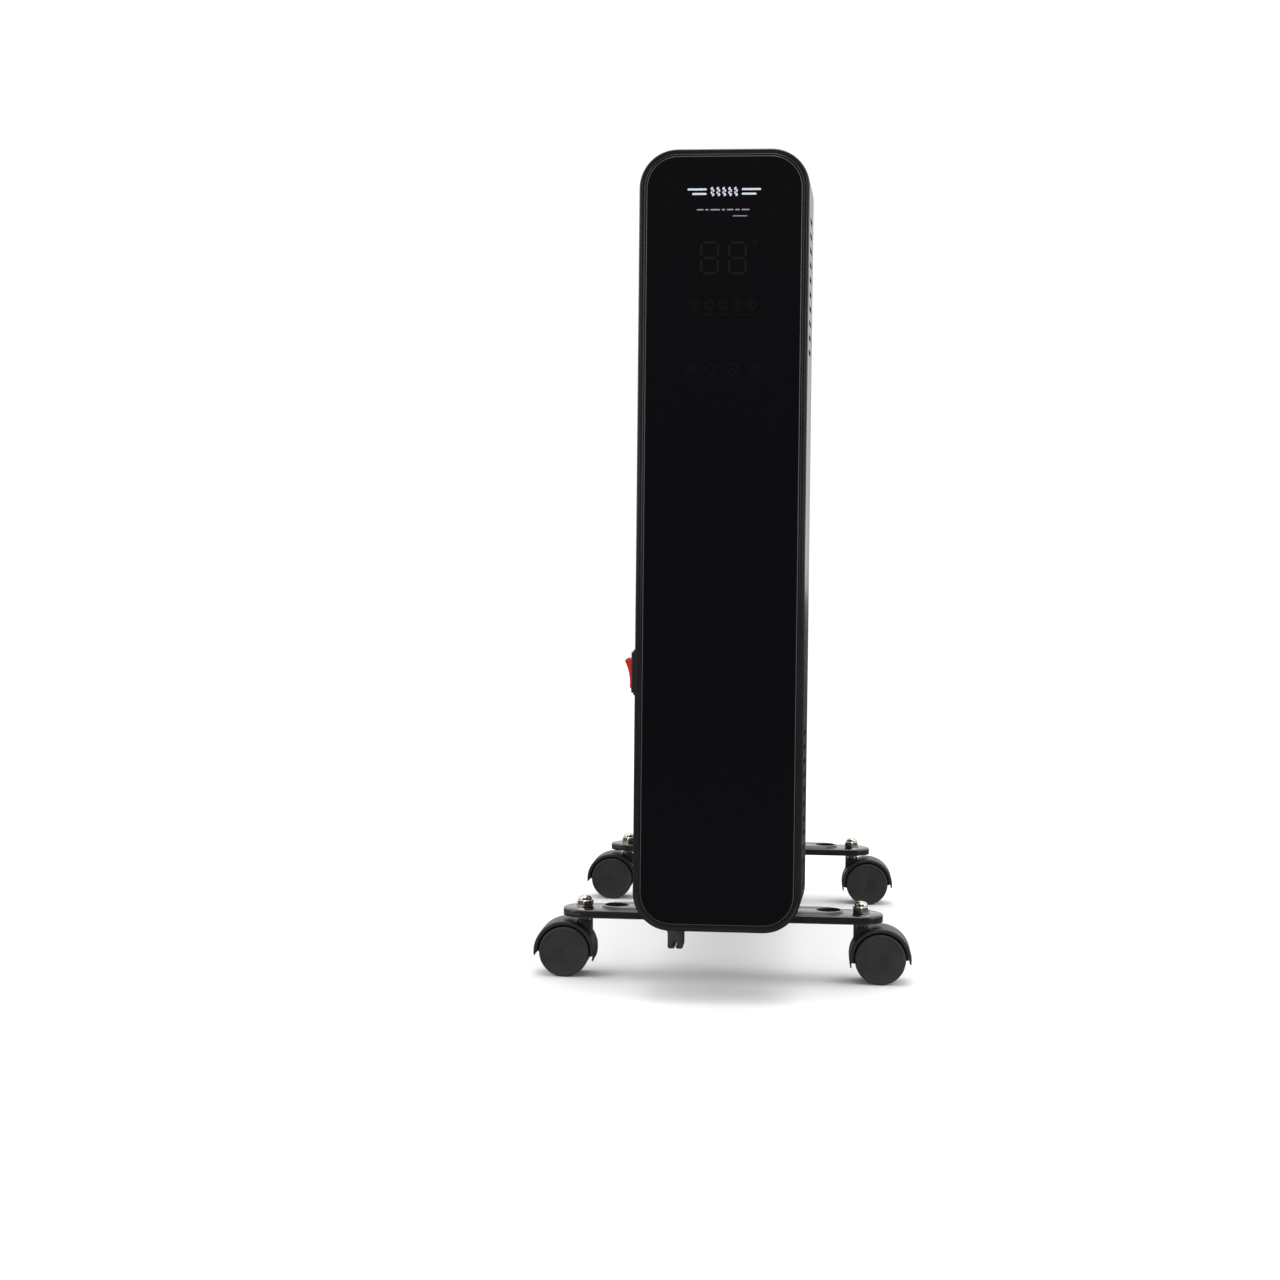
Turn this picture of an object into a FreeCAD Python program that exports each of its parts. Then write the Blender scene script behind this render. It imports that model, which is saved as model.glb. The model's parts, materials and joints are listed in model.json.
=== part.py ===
"""Oil filled radiator heater on twin-wheel casters, as separate named pieces. Millimetres.

The origin is on the floor, under the middle of the object. +Z is up, +X is to the right of someone
who faces the glass panel, and the panel faces -Y. The fins follow each other along +Y.
"""

import FreeCAD, Part

import math
import os

import Sketcher

DOCUMENT = FreeCAD.newDocument("OilFilledHeater")
SHEET = DOCUMENT.addObject("Spreadsheet::Sheet", "Sizes")
NODES = []

SIZES = {
    # layout, front to rear
    "fin_count": 11,
    "fin_pitch": 43.0,
    "panel_to_front_bar": 106.6,
    # glass panel and the bezel round it
    "panel_width": 128.2,
    "panel_bottom": 56.1,
    "panel_height": 592.2,
    "panel_corner": 29.0,
    "glass_inset": 5.3,
    "glass_corner": 24.0,
    "glass_thickness": 3.0,
    "glass_proud": 0.5,
    "glass_gap": 0.35,
    "glass_edge_round": 0.7,
    "bezel_depth": 9.5,
    "bezel_floor": 2.0,
    "bezel_edge_round": 2.4,
    # control housing
    "housing_depth": 51.6,
    "side_draft": 2.7,
    "wall": 2.2,
    "vent_rows": 10,
    "vent_pitch": 11.03,
    "vent_length": 25.0,
    "vent_width": 4.0,
    "vent_setback": 27.5,
    "upper_vent_bottom": 498.2,
    "lower_vent_bottom": 108.3,
    "back_plate_thickness": 2.0,
    "back_plate_margin": 0.5,
    "boss_radius": 4.5,
    "boss_depth": 20.0,
    "corner_boss_x": 58.5,
    "corner_boss_inset": 19.0,
    "middle_boss_x": 60.5,
    "screw_radius": 1.7,
    "screw_length": 10.0,
    "screw_head_radius": 3.5,
    "screw_head_height": 2.2,
    # display and touch keys
    "window_width": 68.0,
    "window_bottom": 470.0,
    "window_height": 120.0,
    "display_width": 50.0,
    "display_height": 30.0,
    "display_centre": 566.5,
    "key_height": 483.0,
    "key_pitch": 16.0,
    "key_radius": 3.0,
    "display_board_width": 100.0,
    "display_board_height": 150.0,
    "board_thickness": 1.6,
    "behind_glass_depth": 9.0,
    # power board
    "power_board_width": 90.0,
    "power_board_height": 120.0,
    "power_board_bottom": 300.0,
    "power_board_setback": 46.0,
    "relay_width": 16.0,
    "relay_depth": 19.0,
    "relay_height": 21.0,
    # rocker switch
    "switch_setback": 30.0,
    "switch_height": 252.6,
    "switch_pivot_x": 63.6,
    "switch_flange_out": 68.3,
    "switch_flange_in": 66.4,
    "switch_flange_width": 25.0,
    "switch_flange_height": 32.0,
    "switch_core_width": 22.0,
    "switch_core_height": 28.6,
    "switch_core_depth": 17.0,
    "switch_clearance": 0.3,
    "rocker_radius": 13.4,
    "rocker_width": 19.0,
    "rocker_tip_angle": 52.0,
    "rocker_skirt_angle": 66.0,
    "rocker_tilt": 11.0,
    "rocker_face_radius": 36.0,
    "rocker_hub": 2.6,
    "rocker_floor": 4.6,
    "trunnion_radius": 1.2,
    "switch_bore_play": 0.05,
    "terminal_width": 4.8,
    "terminal_thickness": 0.8,
    "terminal_length": 8.0,
    "terminal_pitch": 8.0,
    # tip-over switch
    "tip_centre_x": 25.0,
    "tip_pivot_height": 188.0,
    "tip_case_width": 36.0,
    "tip_case_depth": 16.0,
    "tip_case_height": 44.0,
    "tip_case_wall": 2.0,
    "tip_pin_radius": 1.5,
    "tip_pin_drop": 6.0,
    "tip_bore_play": 0.06,
    "tip_arm_half": 3.2,
    "tip_weight_radius": 8.0,
    "tip_weight_drop": 24.0,
    "tip_weight_thickness": 8.0,
    # thermal cut-out
    "cutout_radius": 8.0,
    "cutout_height": 8.0,
    "cutout_level": 132.0,
    # cord gland and cord clip under the housing
    "gland_x": 20.0,
    "gland_setback": 40.0,
    "gland_bore": 4.2,
    "gland_neck": 7.0,
    "gland_flange": 10.0,
    "gland_below": 2.5,
    "gland_above": 8.0,
    "clip_x": -33.0,
    "clip_width": 12.8,
    "clip_length": 20.0,
    "clip_bottom": 37.3,
    "clip_channel_height": 40.6,
    "clip_channel_radius": 1.6,
    "clip_slot": 1.2,
    "clip_lobe_round": 1.5,
    "clip_stud_radius": 3.0,
    "clip_stud_head": 4.2,
    # fins
    "fin_width": 124.0,
    "fin_bottom": 52.0,
    "fin_top": 642.0,
    "fin_corner": 26.0,
    "sheet_steel": 0.8,
    "tank_width": 104.0,
    "tank_margin": 8.6,
    "tank_corner": 25.0,
    "tank_thickness": 13.0,
    "tank_edge_round": 5.0,
    "window_inner": 12.0,
    "window_outer": 27.0,
    "header_height": 54.0,
    "fin_window_corner": 7.0,
    "hub_inset": 34.0,
    "hub_radius": 22.4,
    "hub_foot_radius": 27.0,
    "hub_foot_depth": 5.0,
    "hub_neck_depth": 11.0,
    "hub_rim": 1.5,
    "hub_opening": 18.0,
    "cap_dish_radius": 14.0,
    "cap_dish_depth": 3.6,
    "cap_thickness": 1.2,
    "fill_plug_radius": 5.0,
    "fill_plug_flats": 17.0,
    "fill_plug_head": 3.2,
    # heating element in the lower hub row
    "element_radius": 4.0,
    "element_half_gap": 8.5,
    "element_spacing": 7.0,
    "element_length": 395.0,
    "element_terminal": 12.0,
    "flange_radius": 20.0,
    "flange_thickness": 5.0,
    "gasket_inner": 16.2,
    "plate_hole": 20.4,
    # foot bars
    "bar_length": 260.0,
    "bar_width": 40.0,
    "bar_top": 55.5,
    "bar_sheet": 1.5,
    "bar_skirt_bottom": 49.4,
    "bar_middle_bottom": 48.0,
    "bar_back_open": 53.6,
    "bar_middle_half": 95.0,
    "bar_edge_round": 1.2,
    "raised_length": 197.0,
    "raised_width": 32.0,
    "raised_top": 57.8,
    "raised_ramp": 1.6,
    "bar_hole_x": 86.0,
    "bar_hole_radius": 9.6,
    "stem_hole": 4.2,
    # U-bolts, nuts and saddles that clamp the bars to the lower hubs
    "u_bolt_rod": 3.0,
    "u_bolt_play": 0.1,
    "u_bolt_bottom": 48.6,
    "u_nut_flats": 10.0,
    "u_nut_height": 5.0,
    "saddle_width": 40.0,
    "saddle_depth": 18.0,
    "saddle_top": 70.0,
    # casters
    "stem_x": 112.4,
    "caster_trail": 15.6,
    "wheel_radius": 20.5,
    "wheel_width": 10.5,
    "wheel_gap": 0.5,
    "web_half": 4.5,
    "hood_outer": 25.2,
    "hood_inner": 22.0,
    "hood_outer_tip": 8.0,
    "hood_inner_tip": 17.0,
    "hood_edge_round": 1.4,
    "axle_boss": 7.5,
    "fork_top": 45.3,
    "fork_neck_radius": 5.5,
    "fork_neck_bottom": 35.0,
    "stem_pin_radius": 3.0,
    "stem_pin_bottom": 25.5,
    "stem_play": 0.05,
    "stem_collar_radius": 4.8,
    "stem_collar_gap": 0.3,
    "stem_thread_radius": 4.0,
    "stem_thread_top": 61.6,
    "axle_radius": 2.5,
    "axle_play": 0.06,
    "wheel_hub_radius": 5.5,
    "wheel_rim_inner": 17.4,
    "wheel_face_thickness": 1.5,
    "tyre_round": 1.3,
    "cap_nut_flats": 13.0,
    "cap_nut_hex_height": 5.8,
    "cap_nut_height": 9.8,
    "cap_nut_dome": 5.7,
}


class Size:
    """A number that also knows the spreadsheet expression it comes from."""

    def __init__(self, value, text):
        self.value = float(value)
        self.text = text

    def __add__(self, other):
        other = as_size(other)
        return Size(self.value + other.value, f"({self.text} + {other.text})")

    def __sub__(self, other):
        other = as_size(other)
        return Size(self.value - other.value, f"({self.text} - {other.text})")

    def __mul__(self, other):
        other = as_size(other)
        return Size(self.value * other.value, f"({self.text} * {other.text})")

    def __truediv__(self, other):
        other = as_size(other)
        return Size(self.value / other.value, f"({self.text} / {other.text})")

    def __neg__(self):
        return Size(-self.value, f"(0 - {self.text})")

    def __radd__(self, other):
        return as_size(other) + self

    def __rsub__(self, other):
        return as_size(other) - self

    def __rmul__(self, other):
        return as_size(other) * self

    def sine(self):
        return Size(math.sin(math.radians(self.value)), f"sin({self.text})")

    def cosine(self):
        return Size(math.cos(math.radians(self.value)), f"cos({self.text})")

    def tangent(self):
        return Size(math.tan(math.radians(self.value)), f"tan({self.text})")


class SheetSizes:
    """Gives each spreadsheet cell as a Size: sizes.wall is the cell with the alias wall."""

    def __getattr__(self, alias):
        return Size(SIZES[alias], f"Sizes.{alias}")


sizes = SheetSizes()


def as_size(number):
    """A plain number or a Size, as a Size."""
    return number if isinstance(number, Size) else Size(number, repr(float(number)))


def fill_sheet():
    for row, (alias, value) in enumerate(SIZES.items(), start=1):
        SHEET.set(f"A{row}", alias)
        SHEET.set(f"B{row}", repr(value))
        SHEET.setAlias(f"B{row}", alias)
    DOCUMENT.recompute()


# ---- sketches and features ----

def bind(made, name, size):
    """Binds a property to the sheet through the size's expression."""
    made.setExpression(name, as_size(size).text)


def new_body(label, is_node=True):
    body = DOCUMENT.addObject("PartDesign::Body", label)
    body.Label = label
    if is_node:
        NODES.append(body)
    return body


def clone_body(original, label, is_node=True):
    """A second body with the shape of the original, placed on its own."""
    body = new_body(label, is_node)
    body.BaseFeature = original
    return body


def place(made, x=0, y=0, z=0, turn=0):
    """Puts an object at x, y, z, turned about the vertical by turn degrees."""
    made.Placement = FreeCAD.Placement(FreeCAD.Vector(), FreeCAD.Rotation(FreeCAD.Vector(0, 0, 1), turn))
    for axis, size in zip("xyz", (x, y, z)):
        bind(made, f"Placement.Base.{axis}", size)


def group(label, members):
    """One node that holds several separate solids."""
    compound = DOCUMENT.addObject("Part::Compound", label)
    compound.Label = label
    compound.Links = members
    NODES.append(compound)
    return compound


def new_sketch(body, plane, name, offset=0):
    """A sketch on one of the body's own planes, moved along +X, +Y or +Z by offset."""
    made = body.newObject("Sketcher::SketchObject", f"{body.Name}{name}")
    support = [feature for feature in body.Origin.OriginFeatures if feature.Role == plane][0]
    made.AttachmentSupport = [(support, "")]
    made.MapMode = "FlatFace"
    # the XZ plane's normal points along -Y
    bind(made, ".AttachmentOffset.Base.z", -as_size(offset) if plane == "XZ_Plane" else offset)
    return made


def pin_point(drawing, geometry, end, x, y):
    """Fixes a point of the drawing at x, y from the sketch's origin."""
    for size, kind, axis in ((x, "DistanceX", -2), (y, "DistanceY", -1)):
        size = as_size(size)
        if abs(size.value) < 1e-9:
            drawing.addConstraint(Sketcher.Constraint("PointOnObject", geometry, end, axis))
            continue
        index = drawing.addConstraint(Sketcher.Constraint(kind, -1, 1, geometry, end, size.value))
        bind(drawing, f"Constraints[{index}]", size)


def add_circle(drawing, x, y, radius):
    x, y, radius = as_size(x), as_size(y), as_size(radius)
    centre = FreeCAD.Vector(x.value, y.value, 0)
    circle = drawing.addGeometry(Part.Circle(centre, FreeCAD.Vector(0, 0, 1), radius.value), False)
    pin_point(drawing, circle, 3, x, y)
    index = drawing.addConstraint(Sketcher.Constraint("Radius", circle, radius.value))
    bind(drawing, f"Constraints[{index}]", radius)


def arc_between(start, end, radius, turn):
    """The arc under half a turn from start to end: turn is 1 anticlockwise and -1 clockwise."""
    chord = end - start
    side = FreeCAD.Vector(-chord.y, chord.x, 0).normalize() * turn
    middle = (start + end) * 0.5
    centre = middle + side * math.sqrt(max(radius ** 2 - (chord.Length / 2) ** 2, 0))
    first, last = (start, end) if turn > 0 else (end, start)
    angles = [math.atan2(point.y - centre.y, point.x - centre.x) for point in (first, last)]
    return Part.ArcOfCircle(Part.Circle(centre, FreeCAD.Vector(0, 0, 1), radius), *angles)


def add_outline(drawing, corners, closed=True):
    """An outline of lines and arcs, or an open path.

    A corner (x, y) starts a line, and (x, y, radius, turn) starts an arc.
    """
    corners = [tuple(as_size(number) for number in corner) for corner in corners]
    points = [FreeCAD.Vector(corner[0].value, corner[1].value, 0) for corner in corners]
    edges = []
    for index, corner in enumerate(corners if closed else corners[:-1]):
        start, end = points[index], points[(index + 1) % len(points)]
        if len(corner) == 2:
            edge = drawing.addGeometry(Part.LineSegment(start, end), False)
            edges.append((edge, 1, 2))
            continue
        turn = corner[3].value
        edge = drawing.addGeometry(arc_between(start, end, corner[2].value, turn), False)
        edges.append((edge, 1, 2) if turn > 0 else (edge, 2, 1))
    for index, (edge, start, end) in enumerate(edges):
        pin_point(drawing, edge, start, corners[index][0], corners[index][1])
        if len(corners[index]) == 4:
            radius = corners[index][2]
            constraint = drawing.addConstraint(Sketcher.Constraint("Radius", edge, radius.value))
            bind(drawing, f"Constraints[{constraint}]", radius)
        if closed or index + 1 < len(edges):
            following, its_start, _ = edges[(index + 1) % len(edges)]
            drawing.addConstraint(Sketcher.Constraint("Coincident", edge, end, following, its_start))
        else:
            pin_point(drawing, edge, end, corners[-1][0], corners[-1][1])


def rectangle(left, bottom, right, top):
    return [(left, bottom), (right, bottom), (right, top), (left, top)]


def rounded_rectangle(left, bottom, right, top, radius):
    """An outline with four quarter-circle corners."""
    left, bottom, right, top = (as_size(side) for side in (left, bottom, right, top))
    return [
        (left + radius, bottom),
        (right - radius, bottom, radius, 1),
        (right, bottom + radius),
        (right, top - radius, radius, 1),
        (right - radius, top),
        (left + radius, top, radius, 1),
        (left, top - radius),
        (left, bottom + radius, radius, 1),
    ]


def stadium(x, y, length, width):
    """A slot outline with round ends, centred at x, y and long along the sketch's x."""
    radius = as_size(width) / 2
    reach = as_size(length) / 2
    x, y = as_size(x), as_size(y)
    return [
        (x - reach + radius, y - radius),
        (x + reach - radius, y - radius, radius, 1),
        (x + reach, y, radius, 1),
        (x + reach - radius, y + radius),
        (x - reach + radius, y + radius, radius, 1),
        (x - reach, y, radius, 1),
    ]


def hexagon(flats):
    """A hexagon round the sketch's origin, by its width across flats."""
    reach = as_size(flats) / math.sqrt(3)
    half = as_size(flats) / 2
    return [
        (reach, 0),
        (reach / 2, half),
        (-reach / 2, half),
        (-reach, 0),
        (-reach / 2, -half),
        (reach / 2, -half),
    ]


def outlined(body, plane, name, outlines, offset=0, circles=()):
    """A sketch with closed outlines and circles, in one call."""
    drawing = new_sketch(body, plane, name, offset)
    for corners in outlines:
        add_outline(drawing, corners)
    for x, y, radius in circles:
        add_circle(drawing, x, y, radius)
    return drawing


def add_feature(body, kind, drawing, adds):
    """Makes a sketch-based feature; the returned check confirms that it changed the volume."""
    DOCUMENT.recompute()
    before = body.Shape.Volume if body.Tip and not body.Shape.isNull() else 0
    made = body.newObject(f"PartDesign::{kind}", f"{drawing.Name}{kind}")
    made.Profile = drawing

    def confirm():
        DOCUMENT.recompute()
        change = body.Shape.Volume - before
        if (change < 1e-3) if adds else (change > -1e-3):
            raise RuntimeError(f"{made.Name} changed the volume by {change:.3f}")
        return made

    return made, confirm


def pad(body, drawing, length, midplane=False, backwards=False):
    """Extrudes along the sketch's normal, or against it when backwards."""
    made, confirm = add_feature(body, "Pad", drawing, True)
    bind(made, "Length", length)
    made.Midplane = midplane
    made.Reversed = backwards
    return confirm()


def pocket(body, drawing, depth=None, midplane=False, backwards=False):
    """Cuts against the sketch's normal, or along it when backwards; with no depth, through all."""
    made, confirm = add_feature(body, "Pocket", drawing, False)
    made.Midplane = midplane
    made.Reversed = backwards
    if depth is None:
        made.Type = "ThroughAll"
    else:
        bind(made, "Length", depth)
    return confirm()


def revolve(body, drawing, axis="V_Axis"):
    made, confirm = add_feature(body, "Revolution", drawing, True)
    made.ReferenceAxis = (drawing, [axis])
    made.Angle = 360
    return confirm()


def sweep(body, drawing, path):
    made, confirm = add_feature(body, "AdditivePipe", drawing, True)
    made.Spine = path
    return confirm()


def edge_names(feature, wanted):
    """Names of the feature's edges that the test picks."""
    DOCUMENT.recompute()
    return [f"Edge{number}" for number, edge in enumerate(feature.Shape.Edges, start=1) if wanted(edge)]


def round_edges(body, feature, names, radius):
    made = body.newObject("PartDesign::Fillet", f"{feature.Name}Fillet")
    made.Base = (feature, names)
    bind(made, "Radius", radius)
    DOCUMENT.recompute()
    return made


def along(edge, axis):
    """Whether an edge runs mainly along the axis given as a vector."""
    if len(edge.Vertexes) < 2:
        return False
    direction = edge.Vertexes[-1].Point - edge.Vertexes[0].Point
    return direction.Length > 0 and abs(direction.normalize().dot(axis)) > 0.98


def at_level(edge, axis, level):
    """Whether a whole edge lies in the plane at this level of an axis index, 0 to 2."""
    box = edge.BoundBox
    low = (box.XMin, box.YMin, box.ZMin)[axis]
    high = (box.XMax, box.YMax, box.ZMax)[axis]
    return abs(low - level) < 0.01 and abs(high - level) < 0.01


def simple_box(label, x, y, z, length, width, height, is_node=True):
    """A box by its lowest corner and its three sides."""
    box = DOCUMENT.addObject("Part::Box", label)
    box.Label = label
    bind(box, "Length", length)
    bind(box, "Width", width)
    bind(box, "Height", height)
    place(box, x, y, z)
    if is_node:
        NODES.append(box)
    return box


# ---- positions along the object ----

OVERALL_LENGTH = sizes.panel_to_front_bar + sizes.fin_pitch * (sizes.fin_count - 1)
FRONT = -OVERALL_LENGTH / 2
FRONT_BAR = FRONT + sizes.panel_to_front_bar
FIRST_FIN = FRONT_BAR - sizes.fin_pitch / 2
HUB_FRONT = FIRST_FIN - sizes.fin_pitch / 2
REAR_BAR = FRONT_BAR + sizes.fin_pitch * (sizes.fin_count - 2)
HUB_REAR = FIRST_FIN + sizes.fin_pitch * (sizes.fin_count - 0.5)
BEZEL_FRONT = FRONT + sizes.glass_proud
HOUSING_FRONT = BEZEL_FRONT + sizes.bezel_depth
HOUSING_REAR = HUB_FRONT - sizes.back_plate_thickness
PANEL_TOP = sizes.panel_bottom + sizes.panel_height
LOWER_HUB = sizes.fin_bottom + sizes.hub_inset
UPPER_HUB = sizes.fin_top - sizes.hub_inset
HALF_PANEL = sizes.panel_width / 2
FLARE = sizes.side_draft.tangent()
HALF_HOUSING_FRONT = HALF_PANEL + FLARE * sizes.bezel_depth
HALF_HOUSING_REAR = HALF_HOUSING_FRONT + FLARE * sizes.housing_depth


# ---- front panel and control housing ----

def drafted_block(body, half_front, half_rear, depth):
    """A block whose sides flare to the rear, with the panel's four large round corners."""
    plan = [(-half_front, 0), (half_front, 0), (half_rear, depth), (-half_rear, depth)]
    block = pad(body, outlined(body, "XY_Plane", "Plan", [plan], sizes.panel_bottom), sizes.panel_height)
    corners = edge_names(block, lambda edge: along(edge, FreeCAD.Vector(0, 1, 0)))
    return round_edges(body, block, corners, sizes.panel_corner)


def inset_outline(half_width, inset, corner):
    """The panel's rounded outline, drawn smaller by inset on every side."""
    bottom = sizes.panel_bottom + inset
    return rounded_rectangle(inset - half_width, bottom, half_width - inset, PANEL_TOP - inset, corner)


def make_glass_panel():
    body = new_body("glass_panel")
    place(body, y=FRONT)
    outline = inset_outline(HALF_PANEL, sizes.glass_inset, sizes.glass_corner)
    face = outlined(body, "XZ_Plane", "Outline", [outline])
    sheet = pad(body, face, sizes.glass_thickness, backwards=True)
    front_edges = edge_names(sheet, lambda edge: at_level(edge, 1, 0))
    round_edges(body, sheet, front_edges, sizes.glass_edge_round)


def make_panel_bezel():
    body = new_body("panel_bezel")
    place(body, y=BEZEL_FRONT)
    block = drafted_block(body, HALF_PANEL, HALF_HOUSING_FRONT, sizes.bezel_depth)
    front_edges = edge_names(block, lambda edge: at_level(edge, 1, 0))
    round_edges(body, block, front_edges, sizes.bezel_edge_round)
    inset = sizes.glass_inset - sizes.glass_gap
    recess = inset_outline(HALF_PANEL, inset, sizes.glass_corner + sizes.glass_gap)
    recess_depth = sizes.glass_thickness - sizes.glass_proud
    pocket(body, outlined(body, "XZ_Plane", "Recess", [recess]), recess_depth)
    hollow = inset_outline(HALF_PANEL, sizes.wall * 2, sizes.glass_corner)
    back = outlined(body, "XZ_Plane", "Hollow", [hollow], sizes.bezel_depth)
    pocket(body, back, sizes.bezel_depth - recess_depth - sizes.bezel_floor, backwards=True)
    window = rectangle(
        -sizes.window_width / 2,
        sizes.window_bottom,
        sizes.window_width / 2,
        sizes.window_bottom + sizes.window_height,
    )
    pocket(body, outlined(body, "XZ_Plane", "Window", [window]))


def boss_centres():
    """Centres of the six screw bosses, as x and z."""
    low = sizes.panel_bottom + sizes.corner_boss_inset
    high = PANEL_TOP - sizes.corner_boss_inset
    middle = sizes.panel_bottom + sizes.panel_height / 2
    centres = []
    for side in (-1, 1):
        centres.append((sizes.corner_boss_x * side, low))
        centres.append((sizes.middle_boss_x * side, middle))
        centres.append((sizes.corner_boss_x * side, high))
    return centres


def cut_vents(body, name, bottom):
    """A column of vent slots through both side walls, repeated upwards."""
    slot = stadium(VENT_CENTRE, bottom, sizes.vent_length, sizes.vent_width)
    cut = pocket(body, outlined(body, "YZ_Plane", name, [slot]), midplane=True)
    pattern = body.newObject("PartDesign::LinearPattern", f"{name}Column")
    pattern.Originals = [cut]
    upwards = next(axis for axis in body.Origin.OriginFeatures if axis.Role == "Z_Axis")
    pattern.Direction = (upwards, [""])
    bind(pattern, "Length", sizes.vent_pitch * (sizes.vent_rows - 1))
    bind(pattern, "Occurrences", sizes.vent_rows)
    body.Tip = pattern
    before = cut.Shape.Volume
    DOCUMENT.recompute()
    if pattern.Shape.Volume > before - 1:
        raise RuntimeError(f"{name} repeats no slot")


# housing features are placed from the housing's own front face
VENT_CENTRE = sizes.vent_setback - sizes.bezel_depth - sizes.glass_proud
SWITCH_CENTRE = sizes.switch_setback - sizes.bezel_depth - sizes.glass_proud
GLAND_CENTRE = sizes.gland_setback - sizes.bezel_depth - sizes.glass_proud


def make_control_housing():
    body = new_body("control_housing")
    place(body, y=HOUSING_FRONT)
    block = drafted_block(body, HALF_HOUSING_FRONT, HALF_HOUSING_REAR, sizes.housing_depth)
    open_faces = []
    for number, face in enumerate(block.Shape.Faces, start=1):
        if abs(face.normalAt(0, 0).y) > 0.999:
            open_faces.append(f"Face{number}")
    shell = body.newObject("PartDesign::Thickness", "HousingShell")
    shell.Base = (block, open_faces)
    bind(shell, "Value", sizes.wall)
    shell.Reversed = True
    DOCUMENT.recompute()
    bosses = [(x, z, sizes.boss_radius) for x, z in boss_centres()]
    rings = outlined(body, "XZ_Plane", "Bosses", [], sizes.housing_depth - sizes.boss_depth, bosses)
    pad(body, rings, sizes.boss_depth, backwards=True)
    pilots = [(x, z, sizes.screw_radius) for x, z in boss_centres()]
    pilot_sketch = outlined(body, "XZ_Plane", "Pilots", [], sizes.housing_depth, pilots)
    pocket(body, pilot_sketch, sizes.screw_length + 2, backwards=True)
    cut_vents(body, "UpperVent", sizes.upper_vent_bottom)
    cut_vents(body, "LowerVent", sizes.lower_vent_bottom)
    landing = switch_outline(sizes.switch_flange_width + 3, sizes.switch_flange_height + 3)
    pad(body, outlined(body, "YZ_Plane", "Landing", [landing], -sizes.switch_flange_in), sizes.wall)
    clearance = sizes.switch_clearance * 2
    aperture = switch_outline(sizes.switch_core_width + clearance, sizes.switch_core_height + clearance)
    aperture_sketch = outlined(body, "YZ_Plane", "Aperture", [aperture], -sizes.switch_flange_out)
    pocket(body, aperture_sketch, sizes.wall * 3, backwards=True)
    holes = [
        (sizes.gland_x, GLAND_CENTRE, sizes.gland_neck),
        (sizes.clip_x, GLAND_CENTRE, sizes.clip_stud_radius),
    ]
    hole_sketch = outlined(body, "XY_Plane", "CordHoles", [], sizes.panel_bottom, holes)
    pocket(body, hole_sketch, sizes.wall * 2, backwards=True)


def switch_outline(width, height):
    """A rectangle round the switch's centre, seen along X in the housing's own frame."""
    return rectangle(
        SWITCH_CENTRE - width / 2,
        sizes.switch_height - height / 2,
        SWITCH_CENTRE + width / 2,
        sizes.switch_height + height / 2,
    )


def make_back_plate():
    body = new_body("housing_back_plate")
    place(body, y=HOUSING_REAR)
    margin = sizes.back_plate_margin
    outline = inset_outline(HALF_HOUSING_REAR, margin, sizes.panel_corner - margin)
    sheet = outlined(body, "XZ_Plane", "Sheet", [outline])
    pad(body, sheet, sizes.back_plate_thickness, backwards=True)
    holes = [(x, z, sizes.screw_radius) for x, z in boss_centres()]
    holes.append((0, LOWER_HUB, sizes.plate_hole))
    pocket(body, outlined(body, "XZ_Plane", "Holes", [], 0, holes))


def make_housing_screws():
    """Pan-head screws that hold the back plate to the housing's bosses."""
    original = new_body("housing_screw", is_node=False)
    head = sizes.screw_head_radius
    top = sizes.screw_head_height
    profile = [
        (0, -sizes.screw_length),
        (sizes.screw_radius, -sizes.screw_length),
        (sizes.screw_radius, 0),
        (head, 0),
        (head, top / 2),
        (head / 2, top),
        (0, top),
    ]
    revolve(original, outlined(original, "XY_Plane", "Profile", [profile]))
    members = []
    for number, (x, z) in enumerate(boss_centres(), start=1):
        screw = clone_body(original, f"housing_screw_{number}", is_node=False)
        place(screw, x, HUB_FRONT, z)
        members.append(screw)
    group("housing_screws", members)


# ---- electronics behind the glass ----

GLASS_BACK = FRONT + sizes.glass_thickness
BOARD_FRONT = GLASS_BACK + sizes.behind_glass_depth


def make_display():
    """Display board, its digit module and the springs behind the touch keys."""
    board_bottom = sizes.window_bottom + (sizes.window_height - sizes.display_board_height) / 2
    simple_box(
        "display_board",
        -sizes.display_board_width / 2,
        BOARD_FRONT,
        board_bottom,
        sizes.display_board_width,
        sizes.board_thickness,
        sizes.display_board_height,
    )
    simple_box(
        "led_display",
        -sizes.display_width / 2,
        GLASS_BACK,
        sizes.display_centre - sizes.display_height / 2,
        sizes.display_width,
        sizes.behind_glass_depth,
        sizes.display_height,
    )
    springs = []
    for number in range(4):
        spring = DOCUMENT.addObject("Part::Cylinder", f"touch_spring_{number + 1}")
        bind(spring, "Radius", sizes.key_radius)
        bind(spring, "Height", sizes.behind_glass_depth)
        spring.Placement.Rotation = FreeCAD.Rotation(FreeCAD.Vector(1, 0, 0), -90)
        bind(spring, "Placement.Base.x", sizes.key_pitch * (number - 1.5))
        bind(spring, "Placement.Base.y", GLASS_BACK)
        bind(spring, "Placement.Base.z", sizes.key_height)
        springs.append(spring)
    group("touch_springs", springs)


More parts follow.
